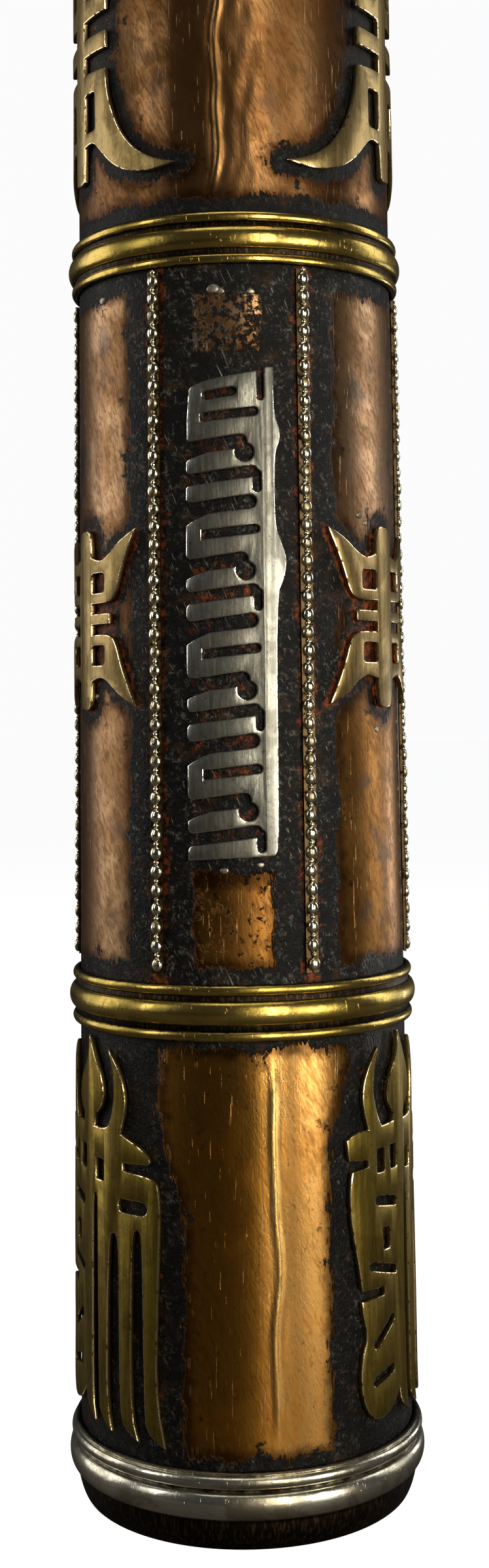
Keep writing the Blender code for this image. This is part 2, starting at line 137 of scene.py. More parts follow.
def wound(name, inner, outer, turns, per_turn, low, high):
    """A strip wound round the axis in a spiral, with no thickness yet."""
    count = turns * per_turn
    line = []
    for i in range(count + 1):
        radius = inner + (outer - inner) * i / count
        turn = FULL_TURN * i / per_turn
        line.append((radius * math.sin(turn), -radius * math.cos(turn), low))
    strip = traced(name, line)
    bpy.ops.mesh.extrude_region_move(TRANSFORM_OT_translate={"value": (0, 0, (high - low) * MM)})
    bpy.ops.object.mode_set(mode="OBJECT")
    return strip


def thickened(piece, thick):
    take(piece)
    wall = piece.modifiers.new("Thickness", "SOLIDIFY")
    wall.thickness = thick * MM
    wall.offset = 0
    bpy.ops.object.modifier_apply(modifier=wall.name)
    return smooth(piece, 40)


def half_round(low, high, base, crest, steps=8):
    """A half-round bead's profile, from its top edge to its lower edge."""
    middle, half = (low + high) / 2, (high - low) / 2
    points = []
    for i in range(steps + 1):
        turn = math.pi * (0.5 - i / steps)
        points.append((base + (crest - base) * math.cos(turn), middle + half * math.sin(turn)))
    return points


def eased(points, per=5):
    """A smooth curve through the points."""
    line = []
    for i in range(len(points) - 1):
        a = points[max(i - 1, 0)]
        b, c = points[i], points[i + 1]
        d = points[min(i + 2, len(points) - 1)]
        for step in range(per):
            t = step / per
            line.append(tuple(
                0.5 * (2 * q + (r - p) * t + (2 * p - 5 * q + 4 * r - s) * t * t
                       + (3 * q - p - 3 * r + s) * t ** 3)
                for p, q, r, s in zip(a, b, c, d)
            ))
    return line + [points[-1]]


def arc(x, y, radius, start, end, steps):
    turns = [math.radians(start + (end - start) * i / steps) for i in range(steps + 1)]
    return [(x + radius * math.cos(t), y + radius * math.sin(t)) for t in turns]


def disc(x, y, radius, sides=16):
    return arc(x, y, radius, 0, 360 * (sides - 1) / sides, sides - 1)


def slot(x0, y0, x1, y1, width, ends=6):
    """A straight slot with round ends."""
    lie = math.degrees(math.atan2(y1 - y0, x1 - x0))
    half = width / 2
    first = arc(x0, y0, half, lie + 90, lie + 270, ends)
    return first + arc(x1, y1, half, lie - 90, lie + 90, ends)


def window(x0, y0, x1, y1, round_by=0.35):
    """A rectangular window with the small round corners that a saw leaves."""
    r = round_by
    return (arc(x0 + r, y0 + r, r, 180, 270, 3) + arc(x1 - r, y0 + r, r, 270, 360, 3)
            + arc(x1 - r, y1 - r, r, 0, 90, 3) + arc(x0 + r, y1 - r, r, 90, 180, 3))


def softened(outline, rounds=2, sharp=62):
    """Rounds the gentle bends of an outline and leaves its corners."""
    for _ in range(rounds):
        line = []
        count = len(outline)
        for i, (x, y) in enumerate(outline):
            ax, ay = outline[i - 1]
            bx, by = outline[(i + 1) % count]
            into = Vector((x - ax, y - ay))
            out = Vector((bx - x, by - y))
            turn = math.degrees(into.angle(out)) if into.length and out.length else 180
            if turn > sharp:
                line.append((x, y))
                continue
            line.append((x - into.x / 4, y - into.y / 4))
            line.append((x + out.x / 4, y + out.y / 4))
        outline = line
    return outline


def flat_sheet(name, outline, half_thickness):
    """A closed flat sheet cut to an outline."""
    sheet = traced(name, [(x, y, -half_thickness) for x, y in outline])
    bpy.ops.mesh.edge_face_add()
    rise = (0, 0, 2 * half_thickness * MM)
    bpy.ops.mesh.extrude_region_move(TRANSFORM_OT_translate={"value": rise})
    bpy.ops.mesh.select_all(action="SELECT")
    bpy.ops.mesh.normals_make_consistent(inside=False)
    bpy.ops.object.mode_set(mode="OBJECT")
    return sheet


def sawn(name, outline, cuts):
    """A flat sheet with all its slots and windows sawn out."""
    sheet = flat_sheet(name, outline, SHEET_T / 2)
    saws = bpy.data.collections.new(name + "_saws")
    bpy.context.scene.collection.children.link(saws)
    tools = []
    for number, shape in enumerate(cuts):
        tool = flat_sheet(f"{name}_saw_{number}", shape, SHEET_T)
        bpy.context.scene.collection.objects.unlink(tool)
        saws.objects.link(tool)
        tools.append(tool)
    take(sheet)
    cut = sheet.modifiers.new("Saw", "BOOLEAN")
    cut.operation = "DIFFERENCE"
    cut.solver = "EXACT"
    cut.operand_type = "COLLECTION"
    cut.collection = saws
    bpy.ops.object.modifier_apply(modifier=cut.name)
    for tool in tools:
        bpy.data.objects.remove(tool, do_unlink=True)
    bpy.data.collections.remove(saws)
    return sheet


def filed(sheet, width=0.2):
    """Files the sheet's edges round and gives them the second finish."""
    take(sheet)
    bpy.ops.object.mode_set(mode="EDIT")
    bpy.ops.mesh.select_all(action="SELECT")
    bpy.ops.mesh.dissolve_limited(angle_limit=math.radians(1))
    bpy.ops.mesh.remove_doubles(threshold=0.14 * MM)
    bpy.ops.object.mode_set(mode="OBJECT")
    file = sheet.modifiers.new("File", "BEVEL")
    file.width = width * MM
    file.segments = 2
    file.limit_method = "ANGLE"
    file.angle_limit = math.radians(50)
    file.material = 1
    file.use_clamp_overlap = False
    bpy.ops.object.modifier_apply(modifier=file.name)
    return sheet


def bent_round(sheet, bend=1.3, dome=0.0):
    """Bends a flat sheet round the tube, its X becoming arc length and its Y height."""
    take(sheet)
    xs = [v.co.x for v in sheet.data.vertices]
    left, right = min(xs), max(xs)
    bends = math.ceil((right - left) / (bend * MM))
    bpy.ops.object.mode_set(mode="EDIT")
    for i in range(1, bends):
        x = left + (right - left) * i / bends
        bpy.ops.mesh.select_all(action="SELECT")
        bpy.ops.mesh.bisect(plane_co=(x, 0, 0), plane_no=(1, 0, 0), threshold=1e-7)
    bpy.ops.object.mode_set(mode="OBJECT")
    middle = (SHEET_IN + SHEET_T / 2) * MM
    for point in sheet.data.vertices:
        turn = point.co.x / (TUBE_R * MM)
        lift = dome * MM * noise.noise(point.co * 160) if point.co.z > 0 else 0
        radius = middle + point.co.z + lift
        point.co = (radius * math.sin(turn), -radius * math.cos(turn), point.co.y)
    sheet.data.update()
    return smooth(sheet, 28)


def copies(pattern, names, angles):
    """A copy of the pattern at each angle round the drum, each with its own mesh."""
    pieces = []
    for name, angle in zip(names, angles):
        piece = bpy.data.objects.new(name, pattern.data.copy())
        bpy.context.scene.collection.objects.link(piece)
        piece.data.transform(Matrix.Rotation(math.radians(angle), 4, "Z"))
        pieces.append(piece)
    bpy.data.objects.remove(pattern, do_unlink=True)
    return pieces


# ---------------------------------------------------------------- finishes


def wire(tree, kind, inputs=None, **settings):
    """Adds a node. A socket given for an input is linked, and anything else is set on it."""
    node = tree.nodes.new(kind)
    for key, value in settings.items():
        setattr(node, key, value)
    for key, value in (inputs or {}).items():
        if isinstance(value, bpy.types.NodeSocket):
            tree.links.new(value, node.inputs[key])
        else:
            node.inputs[key].default_value = value
    return node


def calc(tree, operation, first, second=0.0):
    return wire(tree, "ShaderNodeMath", {0: first, 1: second}, operation=operation).outputs[0]


def plus(tree, first, second):
    return calc(tree, "ADD", first, second)


def minus(tree, first, second):
    return calc(tree, "SUBTRACT", first, second)


def times(tree, first, second):
    return calc(tree, "MULTIPLY", first, second)


def step_up(tree, value, low, high):
    """0 below low, 1 above high, and smooth between."""
    inputs = {"Value": value, "From Min": low, "From Max": high}
    return wire(
        tree, "ShaderNodeMapRange", inputs, interpolation_type="SMOOTHSTEP"
    ).outputs[0]


def between(tree, factor, first, second):
    """A number between two."""
    inputs = {0: factor, 2: first, 3: second}
    return wire(tree, "ShaderNodeMix", inputs, data_type="FLOAT").outputs[0]


def blend(tree, factor, first, second, mode="MIX"):
    """A colour between two."""
    inputs = {0: factor, 6: rgba(first), 7: rgba(second)}
    return wire(
        tree, "ShaderNodeMix", inputs, data_type="RGBA", blend_type=mode
    ).outputs[2]


def rgba(colour):
    return colour if isinstance(colour, bpy.types.NodeSocket) else (*colour, 1.0)


def stretched(tree, point, x, y, z):
    """The point scaled along each axis, to draw a pattern out."""
    return wire(
        tree, "ShaderNodeVectorMath", {0: point, 1: (x, y, z)}, operation="MULTIPLY"
    ).outputs[0]


def point_on(tree):
    """The point being shaded, in millimetres."""
    return stretched(tree, wire(tree, "ShaderNodeTexCoord").outputs["Object"], 1000, 1000, 1000)


def cloudy(tree, point, scale, detail=3.0, roughness=0.5, twist=0.0):
    inputs = {
        "Vector": point, "Scale": scale, "Detail": detail,
        "Roughness": roughness, "Distortion": twist,
    }
    return wire(tree, "ShaderNodeTexNoise", inputs).outputs["Fac"]


def new_group(name, ins, outs):
    """An empty node group with float or vector sockets."""
    tree = bpy.data.node_groups.new(name, "ShaderNodeTree")
    for label, kind, value in ins:
        socket = tree.interface.new_socket(label, in_out="INPUT", socket_type=kind)
        if value is not None:
            socket.default_value = value
    for label, kind in outs:
        tree.interface.new_socket(label, in_out="OUTPUT", socket_type=kind)
    return tree, tree.nodes.new("NodeGroupInput"), tree.nodes.new("NodeGroupOutput")


def use(tree, group, **inputs):
    """Places a node group and returns its outputs."""
    node = tree.nodes.new("ShaderNodeGroup")
    node.node_tree = group
    for key, value in inputs.items():
        label = key.replace("_", " ").capitalize()
        if isinstance(value, bpy.types.NodeSocket):
            tree.links.new(value, node.inputs[label])
        else:
            node.inputs[label].default_value = value
    return node.outputs


FLOAT, VECTOR = "NodeSocketFloat", "NodeSocketVector"


def place_group():
    """Where a point is on the wheel: degrees from the front, height and radius."""
    tree, ins, out = new_group(
        "place_on_wheel", [("Point", VECTOR, None)],
        [("Angle", FLOAT), ("Height", FLOAT), ("Radius", FLOAT)],
    )
    x, y, z = wire(tree, "ShaderNodeSeparateXYZ", {0: ins.outputs["Point"]}).outputs
    back = times(tree, y, -1.0)
    angle = calc(tree, "DEGREES", calc(tree, "ARCTAN2", x, back))
    across = plus(tree, times(tree, x, x), times(tree, y, y))
    radius = calc(tree, "SQRT", across)
    for label, socket in (("Angle", angle), ("Height", z), ("Radius", radius)):
        tree.links.new(socket, out.inputs[label])
    return tree


def grain_group():
    """Fine brushed lines, drawn out along one direction, with a few deeper scratches."""
    tree, ins, out = new_group(
        "brushed_grain",
        [("Point", VECTOR, None), ("Along", VECTOR, (1, 1, 0.05)), ("Fineness", FLOAT, 3.0)],
        [("Grain", FLOAT), ("Scratch", FLOAT)],
    )
    drawn = wire(
        tree, "ShaderNodeVectorMath", {0: ins.outputs["Point"], 1: ins.outputs["Along"]},
        operation="MULTIPLY",
    ).outputs[0]
    fine = cloudy(tree, drawn, ins.outputs["Fineness"], 4, 0.65)
    coarse = cloudy(tree, drawn, times(tree, ins.outputs["Fineness"], 0.3), 2)
    grain = plus(tree, times(tree, fine, 0.65), times(tree, coarse, 0.35))
    slant = wire(
        tree, "ShaderNodeMapping",
        {"Vector": ins.outputs["Point"], "Rotation": (0.5, 0.35, 0.2), "Scale": (2.2, 2.2, 0.12)},
    ).outputs[0]
    lines = cloudy(tree, slant, 1.6, 2, 0.5)
    scratch = step_up(tree, lines, 0.66, 0.74)
    tree.links.new(grain, out.inputs["Grain"])
    tree.links.new(scratch, out.inputs["Scratch"])
    return tree


def tarnish_group():
    """Uneven tarnish: broad clouds broken by small spots."""
    tree, ins, out = new_group(
        "tarnish",
        [("Point", VECTOR, None), ("Size", FLOAT, 10.0), ("Amount", FLOAT, 0.5)],
        [("Mask", FLOAT), ("Spots", FLOAT)],
    )
    scale = calc(tree, "DIVIDE", 1.0, ins.outputs["Size"])
    clouds = cloudy(tree, ins.outputs["Point"], scale, 6, 0.62, 0.6)
    edge = minus(tree, 0.72, times(tree, ins.outputs["Amount"], 0.44))
    mask = step_up(tree, clouds, minus(tree, edge, 0.09), plus(tree, edge, 0.09))
    specks = cloudy(tree, ins.outputs["Point"], times(tree, scale, 14), 3, 0.6)
    tree.links.new(mask, out.inputs["Mask"])
    tree.links.new(step_up(tree, specks, 0.6, 0.7), out.inputs["Spots"])
    return tree


def ragged_group():
    """A mask that starts a set distance from an edge, with a boundary like brushed hairs."""
    tree, ins, out = new_group(
        "ragged_edge",
        [("Point", VECTOR, None), ("Distance", FLOAT, 0.0), ("From", FLOAT, 2.0),
         ("Hair", FLOAT, 1.6), ("Wander", FLOAT, 3.0)],
        [("Mask", FLOAT)],
    )
    hairs = cloudy(tree, stretched(tree, ins.outputs["Point"], 2.0, 2.0, 0.3), 0.9, 4, 0.7)
    broad = cloudy(tree, ins.outputs["Point"], 0.16, 3, 0.55)
    fray = times(tree, minus(tree, hairs, 0.5), ins.outputs["Hair"])
    stray = times(tree, minus(tree, broad, 0.5), ins.outputs["Wander"])
    reach = minus(tree, ins.outputs["Distance"], ins.outputs["From"])
    reach = plus(tree, plus(tree, reach, fray), stray)
    tree.links.new(step_up(tree, reach, -0.12, 0.3), out.inputs["Mask"])
    return tree


PLACE = place_group()
GRAIN = grain_group()
TARNISH = tarnish_group()
RAGGED = ragged_group()


def new_finish(name, metallic=1.0, roughness=0.4, **plain):
    """A material with its shader's plain values set. Returns (material, tree, shader)."""
    finish = bpy.data.materials.new(name)
    finish.use_nodes = True
    tree = finish.node_tree
    shader = tree.nodes["Principled BSDF"]
    shader.inputs["Metallic"].default_value = metallic
    shader.inputs["Roughness"].default_value = roughness
    for key, value in plain.items():
        shader.inputs[key.replace("_", " ").title().replace("Ior", "IOR")].default_value = value
    return finish, tree, shader


def colour_with(tree, shader, colour, roughness=None, metallic=None, height=None, depth=0.02):
    """Links the changing values to the shader, the height through a Bump in millimetres."""
    tree.links.new(colour, shader.inputs["Base Color"])
    if roughness is not None:
        tree.links.new(roughness, shader.inputs["Roughness"])
    if metallic is not None:
        tree.links.new(metallic, shader.inputs["Metallic"])
    if height is not None:
        bump = wire(tree, "ShaderNodeBump", {"Strength": 1.0, "Distance": depth * MM, "Height": height})
        tree.links.new(bump.outputs[0], shader.inputs["Normal"])


PATINA = (0.005, 0.005, 0.0045)
PATINA_BROWN = (0.055, 0.024, 0.010)
PATINA_DUST = (0.20, 0.195, 0.155)
PATINA_NICK = (0.32, 0.30, 0.23)
# Painted highlight: bright copper laid along the crest of a pressed crease
CREST_HIGHLIGHT = (0.98, 0.62, 0.20)
RESIN_DARK = (0.035, 0.010, 0.004)
RESIN_RED = (0.22, 0.050, 0.010)
# Grime and painted shade, laid in the grooves and recesses of turned rings
GRIME_AND_SHADE = (0.016, 0.011, 0.006)


def stored(tree, name):
    """A number kept on the tube's points."""
    return wire(tree, "ShaderNodeAttribute", attribute_name=name).outputs["Fac"]


def bare_mask(tree, point, place, near, halo, panels):
    """1 on bare copper and 0 on patina. In a panel between strips, only two patches are bare."""
    ragged = use(tree, RAGGED, point=point, distance=near, hair=4.2, wander=4.0, **{"from": halo})
    bare = ragged["Mask"]
    if not panels:
        return bare
    turned = plus(tree, place["Angle"], 420.0)
    off = calc(tree, "ABSOLUTE", minus(tree, calc(tree, "MODULO", turned, 120.0), 60.0))
    inside = calc(tree, "LESS_THAN", off, float(STRIP_OFFSET))
    low = patch(tree, point, off, place["Height"], 15.0, 84.6, 100.8, 0.2)
    high = patch(tree, point, off, place["Height"], 12.5, 181.6, 192.2, 5.0)
    return between(tree, inside, bare, calc(tree, "MAXIMUM", low, high))


def patina(tree, point, leaning, scratch, dusty):
    """Black patina with settled dust, nicks and old resin: its colour, dust and resin."""
    dust = step_up(tree, cloudy(tree, point, 1.3, 7, 0.8), 0.5, 0.66)
    worn = step_up(tree, cloudy(tree, leaning, 0.35, 5, 0.7), 0.42, 0.62)
    rust = step_up(tree, cloudy(tree, point, 0.2, 5, 0.7), 0.54, 0.68)
    black = blend(tree, times(tree, rust, 0.55), PATINA, PATINA_BROWN)
    settled = times(tree, times(tree, dust, worn), dusty)
    black = blend(tree, settled, black, PATINA_DUST)
    nicks = times(tree, scratch, 0.7 * dusty)
    black = blend(tree, nicks, black, PATINA_NICK)
    creep = cloudy(tree, point, 0.5, 5, 0.65)
    spread = plus(tree, stored(tree, "resin"), times(tree, creep, 1.6))
    close = step_up(tree, spread, 1.25, 1.55)
    glow = step_up(tree, cloudy(tree, point, 1.1, 3), 0.42, 0.62)
    black = blend(tree, close, black, blend(tree, glow, RESIN_DARK, RESIN_RED))
    return black, dust, close


def copper_finish(name, bright, dull, deep, halo, shine, amount, smoky=0.0, dusty=0.5, panels=False):
    """Bare copper that turns to black patina round whatever is soldered on."""
    finish, tree, shader = new_finish(
        name, anisotropic=0.7, anisotropic_rotation=0.25, specular_ior_level=0.2
    )
    axis = wire(tree, "ShaderNodeTangent", direction_type="RADIAL", axis="Z").outputs[0]
    tree.links.new(axis, shader.inputs["Tangent"])
    point = point_on(tree)
    place = use(tree, PLACE, point=point)
    blots = step_up(tree, cloudy(tree, point, 0.28, 5, 0.7), 0.57, 0.66)
    near = minus(tree, stored(tree, "near"), times(tree, blots, 1.8))
    bare = bare_mask(tree, point, place, near, halo, panels)
    grain = use(tree, GRAIN, point=point, along=(1, 1, 0.06), fineness=2.6)
    leaning = wire(tree, "ShaderNodeMapping", {"Vector": point, "Rotation": (0.0, 0.42, 0.0)}).outputs[0]
    strokes = use(tree, GRAIN, point=leaning, along=(1.1, 0.6, 0.2), fineness=2.4)
    tarnish = use(tree, TARNISH, point=point, size=13.0, amount=amount)
    copper = blend(tree, tarnish["Mask"], bright, dull)
    # A deeper tone where marked; on the lower tube this is painted shade left of each panel's middle
    copper = blend(tree, stored(tree, "deep"), copper, deep)
    copper = blend(tree, times(tree, tarnish["Spots"], 0.45), copper, (0.09, 0.035, 0.012))
    fine = step_up(tree, grain["Grain"], 0.36, 0.66)
    brushed = step_up(tree, strokes["Grain"], 0.42, 0.62)
    copper = blend(tree, times(tree, fine, 0.4), copper, (0.70, 0.42, 0.20), "SOFT_LIGHT")
    copper = blend(tree, times(tree, brushed, 0.55), copper, tuple(c * 0.3 for c in deep))
    copper = blend(tree, times(tree, grain["Scratch"], 0.3), copper, (0.85, 0.6, 0.38))
    # Painted highlight along the crease crests, where the copper is also made smoother
    painted_crest_highlight = stored(tree, "painted_crest_highlight")
    copper = blend(tree, painted_crest_highlight, copper, CREST_HIGHLIGHT)
    stain = minus(tree, near, halo + 0.2)
    stain = plus(tree, stain, times(tree, cloudy(tree, point, 0.45, 4, 0.6), -3.2))
    stain = step_up(tree, stain, 0.6, -1.6)
    copper = blend(tree, times(tree, stain, 0.8), copper, (0.055, 0.020, 0.007))
    smoke = step_up(tree, cloudy(tree, point, 0.09, 3, 0.6), 0.56, 0.7)
    copper = blend(tree, times(tree, smoke, smoky), copper, (0.10, 0.082, 0.070))
    black, dust, close = patina(tree, point, leaning, strokes["Scratch"], dusty)
    colour = blend(tree, bare, black, copper)
    rough_copper = plus(tree, shine, times(tree, brushed, 0.10))
    rough_copper = plus(tree, rough_copper, times(tree, tarnish["Mask"], 0.08))
    rough_copper = between(tree, painted_crest_highlight, rough_copper, 0.26)
    rough_black = between(tree, close, between(tree, dust, 0.3, 0.55), 0.2)
    rough = between(tree, bare, rough_black, rough_copper)
    metal = between(tree, bare, 0.35, 1.0)
    pits = cloudy(tree, point, 2.2, 4, 0.65)
    height = times(tree, grain["Grain"], 0.5)
    height = plus(tree, height, times(tree, strokes["Grain"], 0.6))
    height = plus(tree, height, times(tree, grain["Scratch"], -0.5))
    crust = times(tree, minus(tree, 1.0, bare), plus(tree, 0.5, pits))
    height = plus(tree, height, times(tree, crust, 4.6))
    colour_with(tree, shader, colour, rough, metal, height, 0.045)
    return finish


def patch(tree, point, off, height, half, low, high, mottle):
    """A worn patch in a panel: its distance inside its sides, frayed."""
    side = times(tree, minus(tree, half, off), 0.47)
    ends = calc(tree, "MINIMUM", minus(tree, height, low), minus(tree, high, height))
    inside = calc(tree, "MINIMUM", side, ends)
    mask = use(tree, RAGGED, point=point, distance=inside, hair=3.0, wander=2.4, **{"from": 0.6})
    specks = cloudy(tree, point, 0.75, 5, 0.7)
    broken = step_up(tree, minus(tree, specks, times(tree, mottle, 0.02)), 0.36, 0.44)
    return times(tree, mask["Mask"], broken)


def turned_finish(name, bright, dull, groove, low, high, shine=0.16):
    """Turned metal with lines round the axis: grime and painted shade in the grooves and recesses inside the
    low radius, clean past the high one.
    """
    finish, tree, shader = new_finish(name)
    point = point_on(tree)
    place = use(tree, PLACE, point=point)
    flat = wire(
        tree, "ShaderNodeCombineXYZ",
        {0: times(tree, place["Radius"], 3.0), 1: times(tree, place["Height"], 3.0)},
    ).outputs[0]
    lines = cloudy(tree, flat, 2.2, 4, 0.7)
    tarnish = use(tree, TARNISH, point=point, size=8.0, amount=0.45)
    grain = use(tree, GRAIN, point=point, along=(0.25, 0.25, 1.6), fineness=1.4)
    colour = blend(tree, tarnish["Mask"], bright, dull)
    worn = step_up(tree, lines, 0.45, 0.7)
    colour = blend(tree, times(tree, worn, 0.3), colour, groove)
    colour = blend(tree, times(tree, grain["Scratch"], 0.3), colour, bright)
    colour = blend(tree, times(tree, tarnish["Spots"], 0.35), colour, groove)
    stray = times(tree, minus(tree, cloudy(tree, point, 0.5, 4, 0.6), 0.5), 0.7)
    proud_of_recess = step_up(tree, plus(tree, place["Radius"], stray), low, high)
    slant = wire(
        tree, "ShaderNodeMapping",
        {"Vector": point, "Rotation": (0.0, 0.7, 0.5), "Scale": (2.0, 2.0, 0.25)},
    ).outputs[0]
    strokes = step_up(tree, cloudy(tree, slant, 1.5, 3, 0.6), 0.5, 0.62)
    # Painted shade with grime: nearly black in the grooves and recesses inside the low radius, with lighter
    # brush strokes
    grime = blend(tree, times(tree, strokes, 0.7), GRIME_AND_SHADE, tuple(c * 6 for c in GRIME_AND_SHADE))
    colour = blend(tree, proud_of_recess, grime, colour)
    rough = plus(tree, shine, times(tree, lines, 0.12))
    rough = plus(tree, rough, times(tree, tarnish["Mask"], 0.08))
    rough = between(tree, proud_of_recess, 0.45, rough)
    knocks = cloudy(tree, point, 0.7, 3, 0.5)
    height = plus(tree, times(tree, lines, 0.5), grain["Scratch"])
    height = plus(tree, height, times(tree, knocks, 2.5))
    colour_with(tree, shader, colour, rough, None, height, 0.02)
    return finish


def sheet_finish(name, face, dull, worn, shine=0.36, along=(1, 1, 0.07)):
    """The face of sawn sheet: brushed, tarnished in clouds, worn bright in places."""
    finish, tree, shader = new_finish(name)
    point = point_on(tree)
    grain = use(tree, GRAIN, point=point, along=along, fineness=2.4)
    tarnish = use(tree, TARNISH, point=point, size=6.0, amount=0.5)
    colour = blend(tree, tarnish["Mask"], face, dull)
    fine = step_up(tree, grain["Grain"], 0.4, 0.64)
    colour = blend(tree, times(tree, fine, 0.3), colour, worn)
    colour = blend(tree, times(tree, grain["Scratch"], 0.4), colour, worn)
    spots = times(tree, tarnish["Spots"], 0.6)
    colour = blend(tree, spots, colour, tuple(c * 0.25 for c in dull))
    rough = plus(tree, shine, times(tree, grain["Grain"], 0.16))
    rough = plus(tree, rough, times(tree, tarnish["Mask"], 0.08))
    height = plus(tree, grain["Grain"], times(tree, cloudy(tree, point, 0.9, 3), 1.4))
    colour_with(tree, shader, colour, rough, None, height, 0.03)
    return finish


def edge_finish(name, bright, dark, shine=0.16):
    """A worn edge or bead: bright, with grime caught along it."""
    finish, tree, shader = new_finish(name)
    point = point_on(tree)
    grime = step_up(tree, cloudy(tree, point, 0.8, 4, 0.6), 0.5, 0.62)
    colour = blend(tree, grime, bright, dark)
    rough = between(tree, grime, shine, shine + 0.25)
    colour_with(tree, shader, colour, rough, None, cloudy(tree, point, 3.0, 3), 0.02)
    return finish


def grained_finish(name, light, deep, stretch, scale, metallic=0.0, shine=0.6, depth=0.05):
    """Wood, paper, lead, steel or cloth: two colours through a drawn-out grain."""
    finish, tree, shader = new_finish(name, metallic=metallic)
    point = point_on(tree)
    grain = cloudy(tree, stretched(tree, point, *stretch), scale, 5, 0.6, 0.4)
    mask = step_up(tree, grain, 0.36, 0.66)
    colour = blend(tree, mask, light, deep)
    rough = plus(tree, shine, times(tree, grain, 0.2))
    colour_with(tree, shader, colour, rough, None, grain, depth)
    return finish


def woven_finish(name, light, deep, count=1.6):
    """Plain woven cotton tape wound round the roll."""
    finish, tree, shader = new_finish(name, metallic=0.0, roughness=0.9)
    point = point_on(tree)
    place = use(tree, PLACE, point=point)
    round_way = times(tree, place["Angle"], 0.43 * count * math.pi)
    up_way = times(tree, place["Height"], count * math.pi)
    warp = calc(tree, "ABSOLUTE", calc(tree, "SINE", round_way))
    weft = calc(tree, "ABSOLUTE", calc(tree, "SINE", up_way))
    weave = times(tree, warp, weft)
    fade = cloudy(tree, point, 0.3, 4)
    colour = blend(tree, times(tree, weave, 0.8), deep, light)
    colour = blend(tree, times(tree, fade, 0.3), colour, deep)
    colour_with(tree, shader, colour, None, None, weave, 0.15)
    return finish


# Bright, dull and in the grooves
BRASS = ((0.68, 0.48, 0.12), (0.42, 0.30, 0.06), (0.16, 0.10, 0.02))
WHITE_METAL = ((0.82, 0.78, 0.62), (0.42, 0.38, 0.27), (0.16, 0.13, 0.08))
# Light and dark
STEEL = ((0.52, 0.52, 0.53), (0.34, 0.34, 0.35))
LEAD = ((0.22, 0.22, 0.24), (0.12, 0.12, 0.14))
WOOD = ((0.42, 0.26, 0.13), (0.22, 0.12, 0.05))
PAPER = ((0.74, 0.64, 0.45), (0.52, 0.42, 0.26))


def make_finishes():
    return {
        "upper_copper": copper_finish(
            "upper_copper", (0.36, 0.195, 0.08), (0.23, 0.115, 0.04), (0.30, 0.15, 0.05),
            1.9, 0.36, 0.55, smoky=0.3, dusty=0.35,
        ),
        "middle_copper": copper_finish(
            "middle_copper", (0.47, 0.30, 0.165), (0.33, 0.19, 0.09), (0.42, 0.20, 0.045),
            3.4, 0.34, 0.5, smoky=0.6, dusty=1.0, panels=True,
        ),
        # The lower tube's third colour is painted shade, laid left of each panel's middle
        "lower_copper": copper_finish(
            "lower_copper", (0.68, 0.37, 0.11), (0.50, 0.25, 0.06), (0.49, 0.225, 0.028), 2.4, 0.25, 0.4
        ),
        "dome_copper": copper_finish(
            "dome_copper", (0.46, 0.25, 0.11), (0.30, 0.14, 0.05), (0.30, 0.15, 0.05), 1.2, 0.32, 0.5
        ),
        "band_brass": turned_finish("band_brass", *BRASS, 27.85, 28.15),
        "finial_brass": turned_finish("finial_brass", *BRASS, -2.0, -1.0),
        "foot_metal": turned_finish("foot_white_metal", *WHITE_METAL, 27.6, 28.0, 0.15),
        "collar_metal": turned_finish("collar_white_metal", *WHITE_METAL, 7.6, 8.2),
        "fret_face": sheet_finish(
            "fret_face", (0.33, 0.325, 0.27), (0.21, 0.20, 0.16), (0.58, 0.57, 0.50), 0.26
        ),
        "fret_edge": edge_finish("fret_edge", (0.88, 0.86, 0.76), (0.16, 0.14, 0.10)),
        "brass_face": sheet_finish(
            "brass_sheet_face", (0.37, 0.255, 0.095), (0.20, 0.135, 0.042), (0.62, 0.46, 0.21), 0.26
        ),
        "brass_edge": edge_finish("brass_sheet_edge", (0.88, 0.72, 0.42), (0.12, 0.07, 0.025)),
        "emblem_face": sheet_finish(
            "emblem_face", (0.34, 0.235, 0.035), (0.18, 0.12, 0.018), (0.52, 0.38, 0.09), 0.28
        ),
        "bead_backing": edge_finish("bead_backing", (0.09, 0.06, 0.028), (0.02, 0.012, 0.006), 0.4),
        "bead_brass": edge_finish("bead_brass", (0.88, 0.82, 0.60), (0.34, 0.26, 0.13), 0.13),
        "inner_brass": sheet_finish("inner_brass", (0.50, 0.37, 0.15), (0.34, 0.25, 0.09), (0.65, 0.5, 0.25)),
        "steel": grained_finish("turned_steel", *STEEL, (0.4, 0.4, 3.0), 2.0, 1.0, 0.22, 0.01),
        "lead": grained_finish("cast_lead", *LEAD, (1, 1, 1), 0.8, 0.9, 0.5, 0.2),
        "wood": grained_finish("core_wood", *WOOD, (1.5, 1.5, 0.1), 1.2),
        "paper": grained_finish("prayer_paper", *PAPER, (1, 1, 0.5), 0.5, 0.0, 0.75, 0.08),
        "solder": edge_finish("solder", (0.42, 0.38, 0.30), (0.20, 0.17, 0.12), 0.42),
        "cloth": woven_finish("saffron_tape", (0.70, 0.33, 0.05), (0.36, 0.13, 0.015)),
    }


FINISH = make_finishes()


def finish_as(piece, *names):
    piece.data.materials.clear()
    for name in names:
        piece.data.materials.append(FINISH[name])
    return piece


def fit(piece, body, node, *more):
    """The piece rides with its body and stands for its CAD node."""
    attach(piece, body)
    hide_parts(node, *more)
    return piece


# ---------------------------------------------------------------- sawn ornaments


